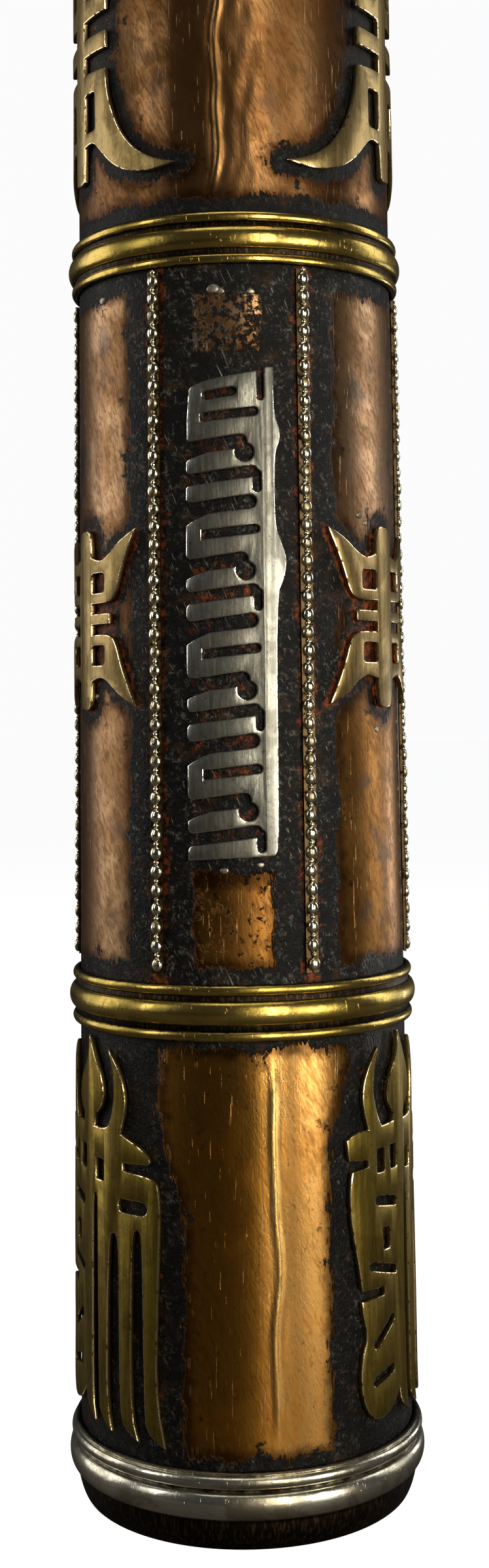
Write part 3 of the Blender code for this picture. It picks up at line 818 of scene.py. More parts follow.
def fret_pattern():
    """A plain repeating fret: bars off an upright rail, some with a rounded shoulder."""
    rail, edge, slope = 7.1, -6.9, 0.1
    out = edge - 1
    low, high = span("fret_plate_1")
    outline = [
        (edge, low), (6.4, low + 0.6), (rail, low + 2.2), (rail, 142.5), (8.6, 146), (8.9, 149),
        (8.0, 151.5), (rail, 154), (rail, 165.5), (8.0, 167.5), (8.0, 169.5), (rail, 172),
        (rail, high), (5.7, high), (5.2, high - 0.6), (-5.2, high - 2.3), (edge, high - 4.5),
    ]

    def bar_gap(y, width, left, right, shoulder=0.0):
        half, flare = width / 2, 0.9
        end = arc(right - half, y + slope * right, half, -90, 90, 6)
        low_side, high_side = y + slope * left - half, y + slope * left + half
        if left > edge:
            return [(left, low_side)] + end + [(left, high_side)]
        top = arc(edge + flare, high_side + flare, flare, 270, 180, 4) + [(left, high_side + flare)]
        if not shoulder:
            foot = arc(edge + flare, low_side - flare, flare, 180, 90, 4)
            return [(left, low_side - flare)] + foot + end + top
        foot = eased([
            (left, y - half - shoulder), (edge + 1.2, y - half - shoulder * 0.5),
            (edge + 3.6, y - slope * 3.3 - half),
        ])
        return foot + end + top

    cuts = []
    repeats, pitch, start = 4, 18.8, 102.4
    for repeat in range(repeats):
        base = start + repeat * pitch
        cuts += [
            bar_gap(base + 3.4, 1.8, out, 4.4),
            slot(4.3, base + 1.2, 4.3, base + 3.4, 1.3),
            bar_gap(base + 8.4, 2.2, out, 2.8, 2.4),
            disc(2.4, base + 6.9, 1.5),
            bar_gap(base + 13.0, 1.4, -4.4, 4.6),
        ]
        if repeat < repeats - 1:
            cuts.append(bar_gap(base + 17.4, 2.2, out, 4.2, 3.0))
    cuts.append(slot(-3.4, 174.9, 0.6, 175.5, 1.4))
    cuts.append(slot(5.0, 174.6, 5.0, 180.5, 1.0))
    return softened(outline, 2), cuts


def mirrored(quarter):
    right = quarter + [(x, -y) for x, y in reversed(quarter) if y > 0]
    return right + [(-x, y) for x, y in reversed(right) if x > 0]


def medallion_pattern(quarter, opening, middle):
    """An upright stem with a bar across it and four crescent horns."""
    outline = [(x, y + middle) for x, y in mirrored(quarter)]
    left, right, low, high = opening
    cuts = []
    for across in (-1, 1):
        for up in (-1, 1):
            xs = sorted((across * left, across * right))
            ys = sorted((middle + up * low, middle + up * high))
            cuts.append(window(xs[0], ys[0], xs[1], ys[1], 0.6))
    return softened(outline, 2), cuts


def emblem_pattern():
    """A body with long legs on its right, a solid plate on its left and a flame on top."""
    flame = [
        (1.8, 59.6), (2.0, 61.2), (4.0, 62.6), (4.7, 65.0), (4.0, 67.6), (2.4, 70.0),
        (0.2, 73.6), (-0.4, 69.6), (-2.8, 67.0), (-3.8, 64.4), (-3.2, 62.2), (-1.8, 61.0),
        (-2.0, 59.8),
    ]
    hook = [
        (5.4, 59.6), (6.6, 61.6), (7.4, 65.0), (7.0, 68.6), (6.0, 72.0), (8.4, 69.2),
        (9.8, 65.6), (9.6, 62.4), (8.6, 59.4),
    ]
    left_hook = [(-x, y) for x, y in hook]
    right_edge = [
        (13.4, 57.6), (14.6, 56.0), (14.4, 55.3), (9.2, 55.0), (9.2, 53.9), (15.2, 53.6),
        (16.2, 51.6), (16.2, 44.0), (15.2, 22.0), (17.0, 13.9), (14.0, 15.6),
        (13.2, 18.4), (13.0, 44.4), (12.2, 45.4), (11.0, 44.6), (10.6, 18.6),
        (12.2, 14.2), (9.2, 15.8), (8.2, 18.6), (8.2, 43.0), (7.2, 44.2), (5.7, 43.4),
        (5.2, 18.6), (6.6, 14.4), (3.8, 16.0), (2.9, 18.6), (2.9, 48.4), (2.2, 49.4),
        (1.2, 48.6), (1.0, 19.0), (2.0, 14.8), (-0.6, 16.2), (-1.4, 19.0),
    ]
    left_edge = [
        (-3.6, 16.6), (-7.6, 15.6), (-10.0, 17.4), (-11.2, 21.0), (-10.9, 25.4),
        (-9.6, 28.6), (-10.6, 32.0), (-10.7, 34.0), (-5.4, 34.0), (-5.4, 35.2),
        (-10.6, 35.4), (-11.2, 39.0), (-12.4, 45.0), (-12.8, 50.6), (-12.2, 53.6),
        (-8.8, 53.8), (-8.8, 54.9), (-12.8, 55.2), (-13.2, 58.4), (-11.0, 59.6),
    ]
    outline = hook[::-1] + flame + left_hook + left_edge[::-1] + right_edge[::-1]
    cuts = [
        slot(9.2, 48.6, 13.0, 48.6, 2.0), window(2.2, 51.6, 4.6, 54.8),
        window(-3.2, 52.6, -1.0, 56.2), window(-6.8, 52.6, -4.6, 56.2),
        slot(-6.6, 48.4, -2.2, 47.6, 1.4), window(-5.6, 40.8, -3.6, 44.0),
        slot(-8.4, 38.8, -2.4, 37.2, 1.2), slot(-7.6, 27.0, -3.2, 30.0, 1.3),
        slot(-8.0, 21.6, -3.6, 22.6, 1.3),
    ]
    return softened(outline, 2), cuts


SMALL_QUARTER = [
    (0, 14.9), (1.7, 14.6), (2.3, 13.2), (2.4, 10.2), (5.2, 9.4), (7.4, 10.4),
    (9.8, 12.4), (13.4, 14.3), (11.7, 10.6), (10.2, 7.2), (9.2, 4.2),
    (7.8, 2.5), (2.4, 2.5), (2.4, 0.9), (7.6, 0.9),
]
LARGE_QUARTER = [
    (0, 23.6), (1.9, 23.2), (2.2, 17.4), (5.0, 17.0), (7.3, 19.0), (10.0, 21.8),
    (13.4, 23.9), (17.2, 24.8), (20.6, 24.5), (23.4, 23.8), (20.4, 23.1), (17.6, 21.9),
    (14.6, 19.6), (11.9, 16.0), (10.2, 12.0), (9.2, 8.5), (8.9, 5.0), (2.0, 4.6),
    (2.0, 1.6), (8.9, 1.6),
]
PATTERNS = {
    "fret_plate": (fret_pattern(), FRET_ANGLES, "drum", ("fret_face", "fret_edge")),
    "small_medallion": (
        medallion_pattern(SMALL_QUARTER, (2.4, 6.2, 4.3, 7.5), SMALL_MIDDLE),
        SMALL_ANGLES, "drum", ("brass_face", "brass_edge"),
    ),
    "emblem": (emblem_pattern(), EMBLEM_ANGLES, "drum", ("emblem_face", "brass_edge")),
    "large_medallion": (
        medallion_pattern(LARGE_QUARTER, (2.4, 5.8, 8.4, 15.0), LARGE_MIDDLE),
        LARGE_ANGLES, "lid", ("brass_face", "brass_edge"),
    ),
}
# How much resin is left round each, and how much nearer its halo starts
RESIN = {"fret_plate": 0.44, "small_medallion": 0.9, "emblem": 0.4, "large_medallion": 0.25}
CLOSER = {"fret_plate": 0.0, "small_medallion": 1.6, "emblem": 0.0, "large_medallion": 0.0}


def make_ornaments():
    for name, ((outline, cuts), angles, body, finishes) in PATTERNS.items():
        sheet = sawn(name, outline, cuts)
        finish_as(sheet, *finishes)
        bent_round(filed(sheet), dome=0.12)
        names = [f"{name}_{number}_sawn" for number in range(1, len(angles) + 1)]
        for number, piece in enumerate(copies(sheet, names, angles), 1):
            fit(piece, body, f"{name}_{number}")


# ---------------------------------------------------------------- beads and bands


def add_ball(segments, rings, size, height):
    """The half of a flattened ball that stands out of its backing."""
    put_down()
    bpy.ops.mesh.primitive_uv_sphere_add(segments=segments, ring_count=rings, radius=MM)
    ball = bpy.context.active_object
    bpy.ops.transform.resize(value=size)
    bpy.ops.transform.translate(value=(0, -(BAND_IN + 0.62) * MM, height * MM))
    settle(ball)
    bpy.ops.object.mode_set(mode="EDIT")
    bpy.ops.mesh.select_all(action="SELECT")
    back = (0, -(BAND_IN + 0.3) * MM, 0)
    bpy.ops.mesh.bisect(plane_co=back, plane_no=(0, 1, 0), use_fill=True, clear_outer=True)
    bpy.ops.object.mode_set(mode="OBJECT")
    return smooth(ball, 50)


def joined(pieces):
    put_down()
    for piece in pieces:
        piece.select_set(True)
    bpy.context.view_layer.objects.active = pieces[0]
    bpy.ops.object.join()
    return pieces[0]


def make_bead_strips():
    """Flattened beads with a pip between them on a flat backing strip, each a little different."""
    low, high = span("bead_strip_1")
    pitch = (high - low) / BEADS_IN_STRIP
    bead = joined([
        add_ball(10, 7, (0.98, 0.6, 1.1), low + 1.3), add_ball(8, 4, (0.42, 0.34, 0.45), low + 2.72)
    ])
    row = bead.modifiers.new("Row", "ARRAY")
    row.count = BEADS_IN_STRIP
    row.use_relative_offset = False
    row.use_constant_offset = True
    row.constant_offset_displace = (0, 0, pitch * MM)
    take(bead)
    bpy.ops.object.modifier_apply(modifier=row.name)
    put_down()
    place = (-0.1 * MM, -(BAND_IN + 0.15) * MM, (low + high) / 2 * MM)
    bpy.ops.mesh.primitive_cube_add(size=MM, location=place)
    bpy.ops.transform.resize(value=(2.1, 0.4, high - low))
    backing = finish_as(settle(bpy.context.active_object), "bead_backing")
    finish_as(bead, "bead_brass")
    corners = len(backing.data.vertices)
    strip = joined([bead, backing])
    beads = len(strip.data.vertices) - corners
    names = [f"bead_strip_{number}_beads" for number in range(1, 7)]
    for number, piece in enumerate(copies(strip, names, [0] * 6), 1):
        chance = random.Random(number)
        nudge = [
            (chance.gauss(0, 0.05), chance.gauss(0, 0.035), 1 + chance.gauss(0, 0.05))
            for _ in range(BEADS_IN_STRIP)
        ]
        for point in list(piece.data.vertices)[:beads]:
            across, out, size = nudge[min(int((point.co.z / MM - low) / pitch), BEADS_IN_STRIP - 1)]
            point.co.x = point.co.x * size + across * MM
            point.co.y += out * MM
        piece.data.transform(Matrix.Rotation(math.radians(STRIP_ANGLES[number - 1]), 4, "Z"))
        fit(piece, "drum", f"bead_strip_{number}")


def make_band(node, body):
    """A three-part moulding: a thin bead, a thick one and a thin one."""
    low, high = span(node)
    inner = BAND_IN
    tall = high - low
    thin, gap = 1.7, 0.75
    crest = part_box(node)[1][0] / MM - UNEVEN
    profile = [(inner, high - 0.05)]
    profile += half_round(high - thin, high, inner + 0.3, crest - 0.55)
    profile += [(inner + 0.42, high - thin - gap / 2)]
    profile += half_round(low + thin + gap, high - thin - gap, inner + 0.45, crest, 14)
    profile += [(inner + 0.42, low + thin + gap / 2)]
    profile += half_round(low, low + thin, inner + 0.3, crest - 0.55)
    profile += [(inner, low + 0.05), (inner, low + tall / 2), (inner, high - 0.05)]
    band = spun(node + "_moulding", profile, 192, 50)
    waver(band, UNEVEN)
    finish_as(band, "band_brass")
    return fit(band, body, node)


def waver(piece, amount, scale=0.06):
    """Small hand-made unevenness, in and out from the axis."""
    for point in piece.data.vertices:
        shift = noise.noise(Vector(point.co) / MM * scale) * amount * MM
        radius = math.hypot(point.co.x, point.co.y)
        if radius > 0.001:
            point.co.x *= 1 + shift / radius
            point.co.y *= 1 + shift / radius
    piece.data.update()


# ---------------------------------------------------------------- tubes, foot and lid


def outline_distance(arc_length, height, outline):
    """How far points on the unrolled tube are from an outline, and 0 inside it."""
    nearest = np.full(len(arc_length), 99.0)
    inside = np.zeros(len(arc_length), bool)
    ends = np.array(outline)
    for (ax, ay), (bx, by) in zip(ends, np.roll(ends, -1, axis=0)):
        dx, dy = bx - ax, by - ay
        length = max(dx * dx + dy * dy, 1e-9)
        along = np.clip(((arc_length - ax) * dx + (height - ay) * dy) / length, 0, 1)
        away = np.hypot(arc_length - ax - along * dx, height - ay - along * dy)
        nearest = np.minimum(nearest, away)
        if ay != by:
            crosses = (height < ay) != (height < by)
            inside ^= crosses & (arc_length < ax + (height - ay) / (by - ay) * dx)
    return np.where(inside, 0.0, nearest)


def store(piece, name, values):
    """Keeps a number on each point for the finish to read."""
    kept = piece.data.attributes.new(name, "FLOAT", "POINT")
    kept.data.foreach_set("value", np.asarray(values, dtype=float))


def points_of(piece):
    """Each point's angle from the front, its height and its number of points."""
    count = len(piece.data.vertices)
    place = np.empty(count * 3)
    piece.data.vertices.foreach_get("co", place)
    x, y, z = place.reshape(-1, 3).T / MM
    return np.degrees(np.arctan2(x, -y)), z, count


def turned_from(angle, middle):
    """Degrees from a middle angle, between -180 and 180."""
    return (angle - middle + 540) % 360 - 180


def mark_near(tube, ornaments, strips=(), bands=(), panels=(), deep=None):
    """Stores how far each point is from what is soldered on, and where the resin lies."""
    angle, z, count = points_of(tube)
    near, resin = np.full(count, 40.0), np.zeros(count)
    for name in ornaments:
        (outline, _), angles, _, _ = PATTERNS[name]
        for middle in angles:
            round_way = np.radians(turned_from(angle, middle)) * TUBE_R
            away = outline_distance(round_way, z, outline)
            near = np.minimum(near, away + CLOSER[name])
            resin = np.maximum(resin, RESIN[name] * (1 - np.clip(away / 1.6, 0, 1)))
    for middle in strips:
        away = np.abs(np.radians(turned_from(angle, middle))) * TUBE_R
        near = np.minimum(near, np.clip(away - 2.0, 0, None))
        resin = np.maximum(resin, 0.62 * (1 - np.clip((away - 1.1) / 2.6, 0, 1)))
    for height, closer in bands:
        near = np.minimum(near, np.clip(np.abs(z - height) + closer, 0, None))
    # A panel's bare copper narrows towards its foot, and is wider on its right
    for middle in panels:
        off = turned_from(angle, middle)
        left = np.interp(z, (48, 60), (-18, -26))
        right = np.interp(z, (60, 70), (32, 41))
        inside = np.minimum(off - left, right - off)
        inside = np.where(np.abs(off) < 58.5, np.radians(inside) * TUBE_R + 2.4, 99)
        near = np.minimum(near, np.clip(inside, 0, None))
    store(tube, "near", near)
    store(tube, "resin", resin)
    store(tube, "deep", deep(angle, z) if deep else np.zeros(count))


def tube_profile(node, row=0.9):
    """A tube's wall as a closed profile, with rows close enough to take dents."""
    low, high = span(node)
    rows = math.ceil((high - low) / row)
    outside = [(TUBE_R, high - (high - low) * i / rows) for i in range(rows + 1)]
    inside = TUBE_R - WALL
    return outside + [(inside, low), (inside, high), (TUBE_R, high)]


def make_tube(node, body, finish, dents, sides=256):
    tube = spun(node + "_rolled", tube_profile(node), sides, 40)
    waver(tube, dents, 0.05)
    finish_as(tube, finish)
    return fit(tube, body, node)


def raise_line(tube, degrees, width, lift, wander=1.2, low=0, high=400, wrinkles=0.0, side=0.5, highlight_amount=0.0):
    """Presses a wandering upright crease out of the tube's wall, and notes where a painted highlight runs
    along its crest.
    """
    marks = tube.data.attributes.get("painted_crest_highlight") or tube.data.attributes.new("painted_crest_highlight", "FLOAT", "POINT")
    for point, mark in zip(tube.data.vertices, marks.data):
        radius = math.hypot(point.co.x, point.co.y)
        height = point.co.z / MM
        if radius < (TUBE_R - WALL / 2) * MM or not low < height < high:
            continue
        angle = math.degrees(math.atan2(point.co.x, -point.co.y))
        off = math.radians(turned_from(angle, degrees)) * TUBE_R
        off -= wander * noise.noise(Vector((degrees, 0, height * 0.08)))
        if abs(off) > 12:
            continue
        fade = min(1, (height - low) / 6, (high - height) / 6)
        ridge = math.exp(-((off / width) ** 2)) - side * math.exp(-(((off + 1.6 * width) / width) ** 2))
        crumple = wrinkles * noise.noise(Vector((off * 0.5, height * 0.25, 7))) * math.exp(-((off / 7) ** 2))
        patchy = 0.75 + 0.8 * noise.noise(Vector((degrees, 3, height * 0.16)))
        mark.value = max(mark.value, highlight_amount * fade * patchy * math.exp(-((off / width) ** 2)))
        lifted = 1 + (ridge * fade + crumple) * lift * MM / radius
        point.co.x *= lifted
        point.co.y *= lifted
    tube.data.update()


def lower_painted_shade(angle, z):
    """Painted shade: left of each panel's middle the copper is painted a deeper, duller tone, a little less
    towards the top.
    """
    deep = np.zeros(len(z))
    for middle in COPPER_PANEL_ANGLES:
        off = turned_from(angle, middle)
        dull = np.clip((13 - off) / 7, 0, 1) * np.clip((off + 60) / 5, 0, 1)
        deep = np.maximum(deep, dull)
    return deep * (0.9 - 0.25 * np.clip((z - 55) / 15, 0, 1))


def middle_deep(angle, z):
    """Below the right medallion and in the front panel the copper is more orange."""
    right = np.clip((34 - np.abs(turned_from(angle, 60))) / 4, 0, 1) * np.clip((130 - z) / 8, 0, 1)
    front = np.clip((20 - np.abs(turned_from(angle, 0))) / 4, 0, 1) * np.clip((116 - z) / 8, 0, 1)
    back = np.clip((40 - np.abs(turned_from(angle, 180))) / 4, 0, 1) * np.clip((z - 150) / 8, 0, 1)
    return np.maximum(np.maximum(right, front), back)


def make_tubes():
    low_band, high_band = span("lower_band"), span("upper_band")
    lower = make_tube("lower_tube", "drum", "lower_copper", 0.10, 360)
    # A crease with a painted highlight along its crest
    raise_line(lower, 12.5, 0.5, 0.2, 1.1, 14, 72, side=0.0, highlight_amount=1.0)
    ends = ((low_band[0], 1.2), (span("foot_ring")[1], 1.0))
    mark_near(lower, ["emblem"], bands=ends, panels=COPPER_PANEL_ANGLES, deep=lower_painted_shade)
    middle = make_tube("middle_tube", "drum", "middle_copper", 0.08)
    ends = ((low_band[1], 1.0), (high_band[0], 0.2))
    mark_near(middle, ["fret_plate", "small_medallion"], STRIP_ANGLES, ends, deep=middle_deep)
    upper = make_tube("upper_tube", "lid", "upper_copper", 0.10, 512)
    raise_line(upper, -3.0, 0.55, 0.26, 2.0, 206, 268, wrinkles=0.5, highlight_amount=0.25)
    raise_line(upper, -19.0, 1.6, 0.07, 1.0, 206, 268)
    raise_line(upper, 10.0, 1.0, 0.05, 2.5, 206, 268)
    ends = ((high_band[1], -0.7), (span("top_band")[0], -0.4))
    mark_near(upper, ["large_medallion"], bands=ends)


def make_foot():
    top = span("foot_ring")[1]
    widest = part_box("foot_ring")[1][0] / MM - UNEVEN
    lip = BAND_IN
    profile = [(lip, top - 0.05), (lip + 0.35, top), (lip + 0.65, top - 0.15), (lip + 0.6, top - 0.4)]
    profile += half_round(top - 2.45, top - 0.6, lip + 0.5, widest - 0.3, 10)
    profile += [(lip + 0.35, top - 2.7)]
    profile += half_round(4.75, top - 2.95, lip + 0.5, widest, 16)
    profile += [(lip + 0.25, 4.5), (lip + 0.2, 4.2)]
    profile += eased([(lip + 0.2, 4.2), (lip + 0.1, 3.0), (lip - 0.4, 1.3), (26.3, 0.15), (25.8, 0)])[1:]
    profile += [(23.7, 0), (23.5, 0.2), (23.5, 8.4), (lip, 8.4), (lip, top - 0.05)]
    ring = spun("foot_ring_turned", profile, 192, 50)
    waver(ring, UNEVEN)
    finish_as(ring, "foot_metal")
    fit(ring, "stand", "foot_ring")


def make_dome():
    """The spun dome over the lid, its skirt inside the tube."""
    shoulder, top = span("upper_tube")[1] + 0.3, span("dome")[1]
    skirt = span("dome")[0]
    inner = TUBE_R - WALL - 0.3
    outer = eased([
        (9.0, top), (15.0, 295.6), (20.8, 291.0), (25.0, 285.4), (TUBE_R, 279.4), (TUBE_R, 277.0)
    ], 8)
    inside = eased([(inner - WALL, 280.8), (24.2, 284.6), (19.8, 290.2), (14.4, 294.2), (9.0, 297.2)], 6)
    profile = outer + [(TUBE_R, shoulder), (inner, shoulder), (inner, skirt), (inner - WALL, skirt)]
    profile += inside + [(STEM_HOLE, 297.6), (STEM_HOLE, top), (9.0, top)]
    dome = spun("dome_spun", profile, 192, 35)
    waver(dome, 0.08)
    height = points_of(dome)[1]
    store(dome, "near", np.minimum(np.abs(height - span("top_band")[1]), np.abs(height - top)) + 0.4)
    finish_as(dome, "dome_copper")
    fit(dome, "lid", "dome")


def make_finial():
    base, top = span("finial_collar")
    collar = [(STEM_HOLE, top), (8.0, top)] + half_round(top - 2.0, top - 0.1, 8.0, 9.0, 8)
    collar += eased([
        (8.0, top - 2.2), (7.6, top - 2.9), (9.0, top - 3.9), (11.1, top - 5.4), (11.4, top - 6.2),
        (11.2, base),
    ])
    collar += [(STEM_HOLE, base), (STEM_HOLE, top)]
    ring = spun("finial_collar_turned", collar, 96, 40)
    finish_as(ring, "collar_metal")
    fit(ring, "lid", "finial_collar")
    foot, tip = span("finial")
    bud = eased([
        (0.0, tip), (0.9, tip - 1.4), (1.5, 344.0), (3.4, 338.0), (6.6, 332.6), (8.4, 326.8),
        (8.0, 321.6), (5.4, 317.4), (3.6, 315.4),
    ], 8)
    bud += eased([(3.6, 315.4), (4.6, 313.8), (6.4, 311.4), (7.2, 309.4), (7.2, foot)], 5)[1:]
    bud += [(STEM_HOLE, foot), (STEM_HOLE, 318.4), (0, 318.4)]
    finial = spun("finial_turned", bud, 96, 40)
    finish_as(finial, "finial_brass")
    fit(finial, "lid", "finial")


def make_inner_collar():
    low, high = span("lid_collar")
    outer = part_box("lid_collar")[1][0] / MM
    profile = [(outer, high - 0.5), (outer, low), (outer - WALL, low), (outer - WALL, high)]
    profile += [(outer - 0.3, high), (outer, high - 0.5)]
    collar = spun("lid_collar_rolled", profile, 128)
    finish_as(collar, "inner_brass")
    fit(collar, "drum", "lid_collar")


def make_scroll():
    """The printed paper wound in a spiral, its top edge a little uneven from turn to turn."""
    low, high = span("mantra_scroll")
    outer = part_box("mantra_scroll")[1][0] / MM - 0.25
    paper = wound("mantra_scroll_wound", SCROLL_IN, outer, SCROLL_TURNS, 40, low, high - 0.6)
    chance = random.Random(5)
    lift = [chance.uniform(0, 0.5) for _ in range(SCROLL_TURNS + 1)]
    for point in paper.data.vertices:
        if point.co.z > (low + high) / 2 * MM:
            radius = math.hypot(point.co.x, point.co.y) / MM
            turn = round((radius - SCROLL_IN) / (outer - SCROLL_IN) * SCROLL_TURNS)
            point.co.z += lift[turn] * MM
    thickened(paper, 0.28)
    finish_as(paper, "paper")
    fit(paper, "drum", "mantra_scroll")


def tape_tail(lean, length, radius, height):
    """A loose end of the tape, hanging from the knot and lying against the roll."""
    put_down()
    bpy.ops.mesh.primitive_grid_add(x_subdivisions=6, y_subdivisions=24, size=MM)
    tail = bpy.context.active_object
    bpy.ops.transform.resize(value=(5.5, length, 1))
    settle(tail)
    for point in tail.data.vertices:
        down = 0.5 - point.co.y / (length * MM)
        across = point.co.x / MM * (0.45 + 0.55 * min(1, down * 3)) + lean * length * down
        curl = 0.28 * math.sin(down * 7) ** 2 + 0.08 * noise.noise(point.co / MM * 0.5)
        turn = across / radius
        out = (radius + curl) * MM
        point.co = (out * math.sin(turn), -out * math.cos(turn), (height - length * down) * MM)
    return thickened(tail, 0.18)


def make_ties():
    """Cotton tape wound twice round the roll and knotted, its two ends hanging."""
    for number, place in enumerate(("lower", "upper"), 1):
        node = f"scroll_tie_{place}"
        low, high = span(node)
        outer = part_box(node)[1][0] / MM
        tape = wound(node + "_tape", outer - 0.4, outer - 0.12, 2, 72, low, high)
        for point in tape.data.vertices:
            point.co.z += 0.25 * MM * noise.noise(point.co / MM * 0.12 + Vector((number * 9, 0, 0)))
        thickened(tape, 0.2)
        knot = add_knot(outer, (low + high) / 2)
        tails = [tape_tail(lean, 15 + 3 * lean, outer + 0.15, (low + high) / 2 - 1) for lean in (-0.35, 0.3)]
        tie = joined([tape, knot, *tails])
        finish_as(tie, "cloth")
        fit(tie, "drum", node)


def add_knot(outer, height):
    """A flat knot: a rounded pad with the folds of the tape pulled in across it."""
    put_down()
    bpy.ops.mesh.primitive_uv_sphere_add(segments=32, ring_count=18, radius=MM)
    knot = bpy.context.active_object
    bpy.ops.transform.resize(value=(3.0, 0.5, 2.5))
    settle(knot)
    for point in knot.data.vertices:
        fold = 1 - 0.22 * math.exp(-((point.co.x / (0.5 * MM)) ** 2))
        point.co.z *= fold
        point.co.y *= 1 + 0.3 * math.sin(point.co.x / MM * 4.0)
    knot.data.transform(Matrix.Translation((0, -(outer + 0.1) * MM, height * MM)))
    return smooth(knot, 60)


def make_solder_spots():
    """Small blobs of solder left beside the ornaments."""
    chance = random.Random(11)
    places = [(-5, 192.4, 1.1), (-2.5, 192.0, 0.8), (8, 191.9, 0.7), (50, 156.4, 0.8), (53, 155.2, 0.6)]
    places += [(-52, 193.0, 0.9), (-57, 127.4, 0.8), (58, 121.6, 0.7), (9, 101.0, 0.6), (-3, 100.2, 0.7)]
    blobs = []
    for angle, height, size in places:
        put_down()
        bpy.ops.mesh.primitive_ico_sphere_add(subdivisions=2, radius=size * MM)
        blob = bpy.context.active_object
        bpy.ops.transform.resize(value=(1.0, 0.2, 0.7))
        bpy.ops.transform.translate(value=(0, -(TUBE_R + 0.02) * MM, 0))
        settle(blob)
        for point in blob.data.vertices:
            point.co.x *= 1 + 0.3 * noise.noise(point.co / MM * 1.3 + Vector((height, 0, 0)))
            point.co.z *= 1 + chance.uniform(-0.08, 0.08)
        blob.data.transform(Matrix.Translation((0, 0, height * MM)))
        blob.data.transform(Matrix.Rotation(math.radians(angle), 4, "Z"))
        blobs.append(smooth(blob, 80))
    spots = joined(blobs)
    spots.name = "solder_spots"
    finish_as(spots, "solder")
    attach(spots, "drum")


CAD_FINISHES = {
    "base_plate": "foot_metal", "foot_weight": "lead", "spindle": "steel", "spindle_nut": "steel",
    "joint_sleeve": "inner_brass", "sleeve_pin_1": "inner_brass", "sleeve_pin_2": "inner_brass",
    "drum_floor": "inner_brass", "lower_bush": "inner_brass", "pivot_bridge": "inner_brass",
    "bearing_cup": "steel", "scroll_core": "wood", "finial_stem": "steel", "finial_nut": "steel",
}


def finish_cad_nodes():
    for node, finish in CAD_FINISHES.items():
        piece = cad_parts[node]
        for held in piece.material_slots:
            held.material = FINISH[finish]


# ---------------------------------------------------------------- stage


def make_floor():
    """A pale floor that looks white, and is dark in reflections, as a bench would be."""
    put_down()
    bpy.ops.mesh.primitive_circle_add(vertices=64, radius=8, fill_type="NGON", location=(0, 0, -0.0002))
    floor = settle(bpy.context.active_object)
    floor.name = "floor"
    pale, tree, shader = new_finish("pale_floor", metallic=0.0, roughness=0.7)
    seen = wire(tree, "ShaderNodeLightPath").outputs["Is Camera Ray"]
    tree.links.new(blend(tree, seen, (0.07, 0.062, 0.055), (0.86, 0.86, 0.86)), shader.inputs["Base Color"])
    shader.inputs["Emission Color"].default_value = (1, 1, 1, 1)
    tree.links.new(times(tree, seen, 0.93), shader.inputs["Emission Strength"])
    floor.data.materials.append(pale)


def make_backdrop():
    """A white studio wall to look at, which lights the wheel only faintly."""
    world = bpy.data.worlds.new("studio")
    bpy.context.scene.world = world
    world.use_nodes = True
    tree = world.node_tree
    sky = tree.nodes["Background"]
    seen = wire(tree, "ShaderNodeBackground", {"Color": (1, 1, 1, 1), "Strength": 0.97})
    sky.inputs["Color"].default_value = (0.9, 0.93, 1.0, 1)
    sky.inputs["Strength"].default_value = 0.035
    eye = wire(tree, "ShaderNodeLightPath").outputs["Is Camera Ray"]
    mixed = wire(tree, "ShaderNodeMixShader", {0: eye, 1: sky.outputs[0], 2: seen.outputs[0]})
    tree.links.new(mixed.outputs[0], tree.nodes["World Output"].inputs["Surface"])


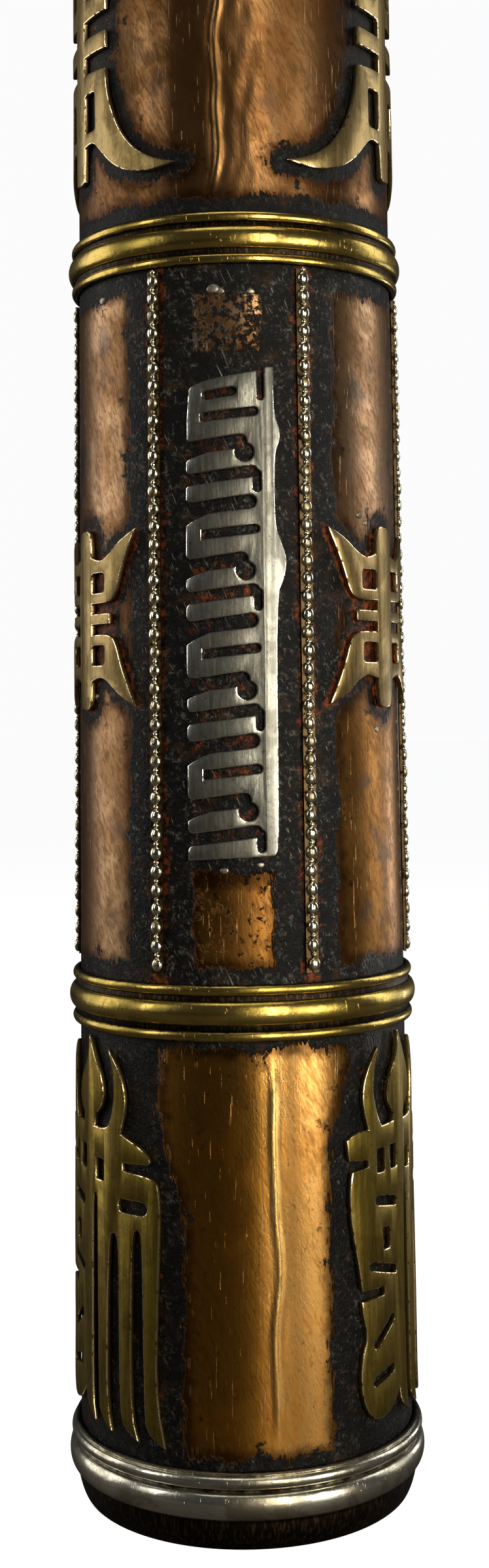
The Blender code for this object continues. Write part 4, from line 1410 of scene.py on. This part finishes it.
def soft_light(name, angle, distance, height, width, tall, power, colour=(1, 1, 1)):
    """A soft box round the wheel at an angle from the front, turned to face it."""
    light = bpy.data.lights.new(name, "AREA")
    light.shape = "ELLIPSE"
    light.size, light.size_y = width, tall
    light.energy = power
    light.color = colour
    lamp = bpy.data.objects.new(name, light)
    turn = math.radians(angle)
    lamp.location = (distance * math.sin(turn), -distance * math.cos(turn), height)
    aim = Vector((0, 0, 0.15)) - lamp.location
    lamp.rotation_euler = aim.to_track_quat("-Z", "Y").to_euler()
    lamp.visible_camera = False
    bpy.context.scene.collection.objects.link(lamp)


def make_lights():
    soft_light("right_softbox", 49, 0.5, 0.12, 0.18, 0.30, 0.92, (1.0, 0.95, 0.87))
    soft_light("narrow_strip", 22, 0.42, 0.17, 0.03, 0.42, 0.75, (1.0, 0.92, 0.78))
    soft_light("left_softbox", -104, 0.6, 0.25, 0.42, 0.6, 0.95, (1.0, 0.98, 0.95))
    soft_light("left_front", -62, 0.6, 0.35, 0.16, 0.5, 0.5)
    soft_light("right_back", 112, 0.6, 0.3, 0.22, 0.6, 0.8)
    soft_light("far_right_strip", 134, 0.5, 0.07, 0.02, 0.14, 0.12)
    soft_light("top", 0, 0.25, 1.1, 0.7, 0.5, 1.2)


def make_camera():
    """A hand-held close-up: the lens sits a little right of the middle and looks up."""
    data = bpy.data.cameras.new("camera")
    data.sensor_fit = "AUTO"
    data.sensor_width = 36
    data.lens = 43.67
    data.shift_y = -0.1833
    data.clip_start = 0.01
    camera = bpy.data.objects.new("camera", data)
    place = Vector((0.00135, -0.3269, 0.1246))
    forward = Vector((0, 0.9936, 0.1128))
    up = Vector((0.01206, -0.1128, 0.9935))
    swing = Matrix.Rotation(math.radians(2.2), 4, "Z")
    right = forward.cross(up).normalized()
    up = right.cross(forward).normalized()
    frame_axes = Matrix((right, up, -forward.normalized())).transposed().to_4x4()
    camera.matrix_world = swing @ Matrix.Translation(place) @ frame_axes
    bpy.context.scene.collection.objects.link(camera)
    bpy.context.scene.camera = camera


def main():
    make_camera()
    make_ornaments()
    make_bead_strips()
    make_band("lower_band", "drum")
    make_band("upper_band", "lid")
    make_band("top_band", "lid")
    make_tubes()
    make_foot()
    make_dome()
    make_finial()
    make_inner_collar()
    make_scroll()
    make_ties()
    make_solder_spots()
    finish_cad_nodes()
    make_floor()
    make_backdrop()
    make_lights()
    bpy.context.scene.view_settings.view_transform = "Standard"


main()
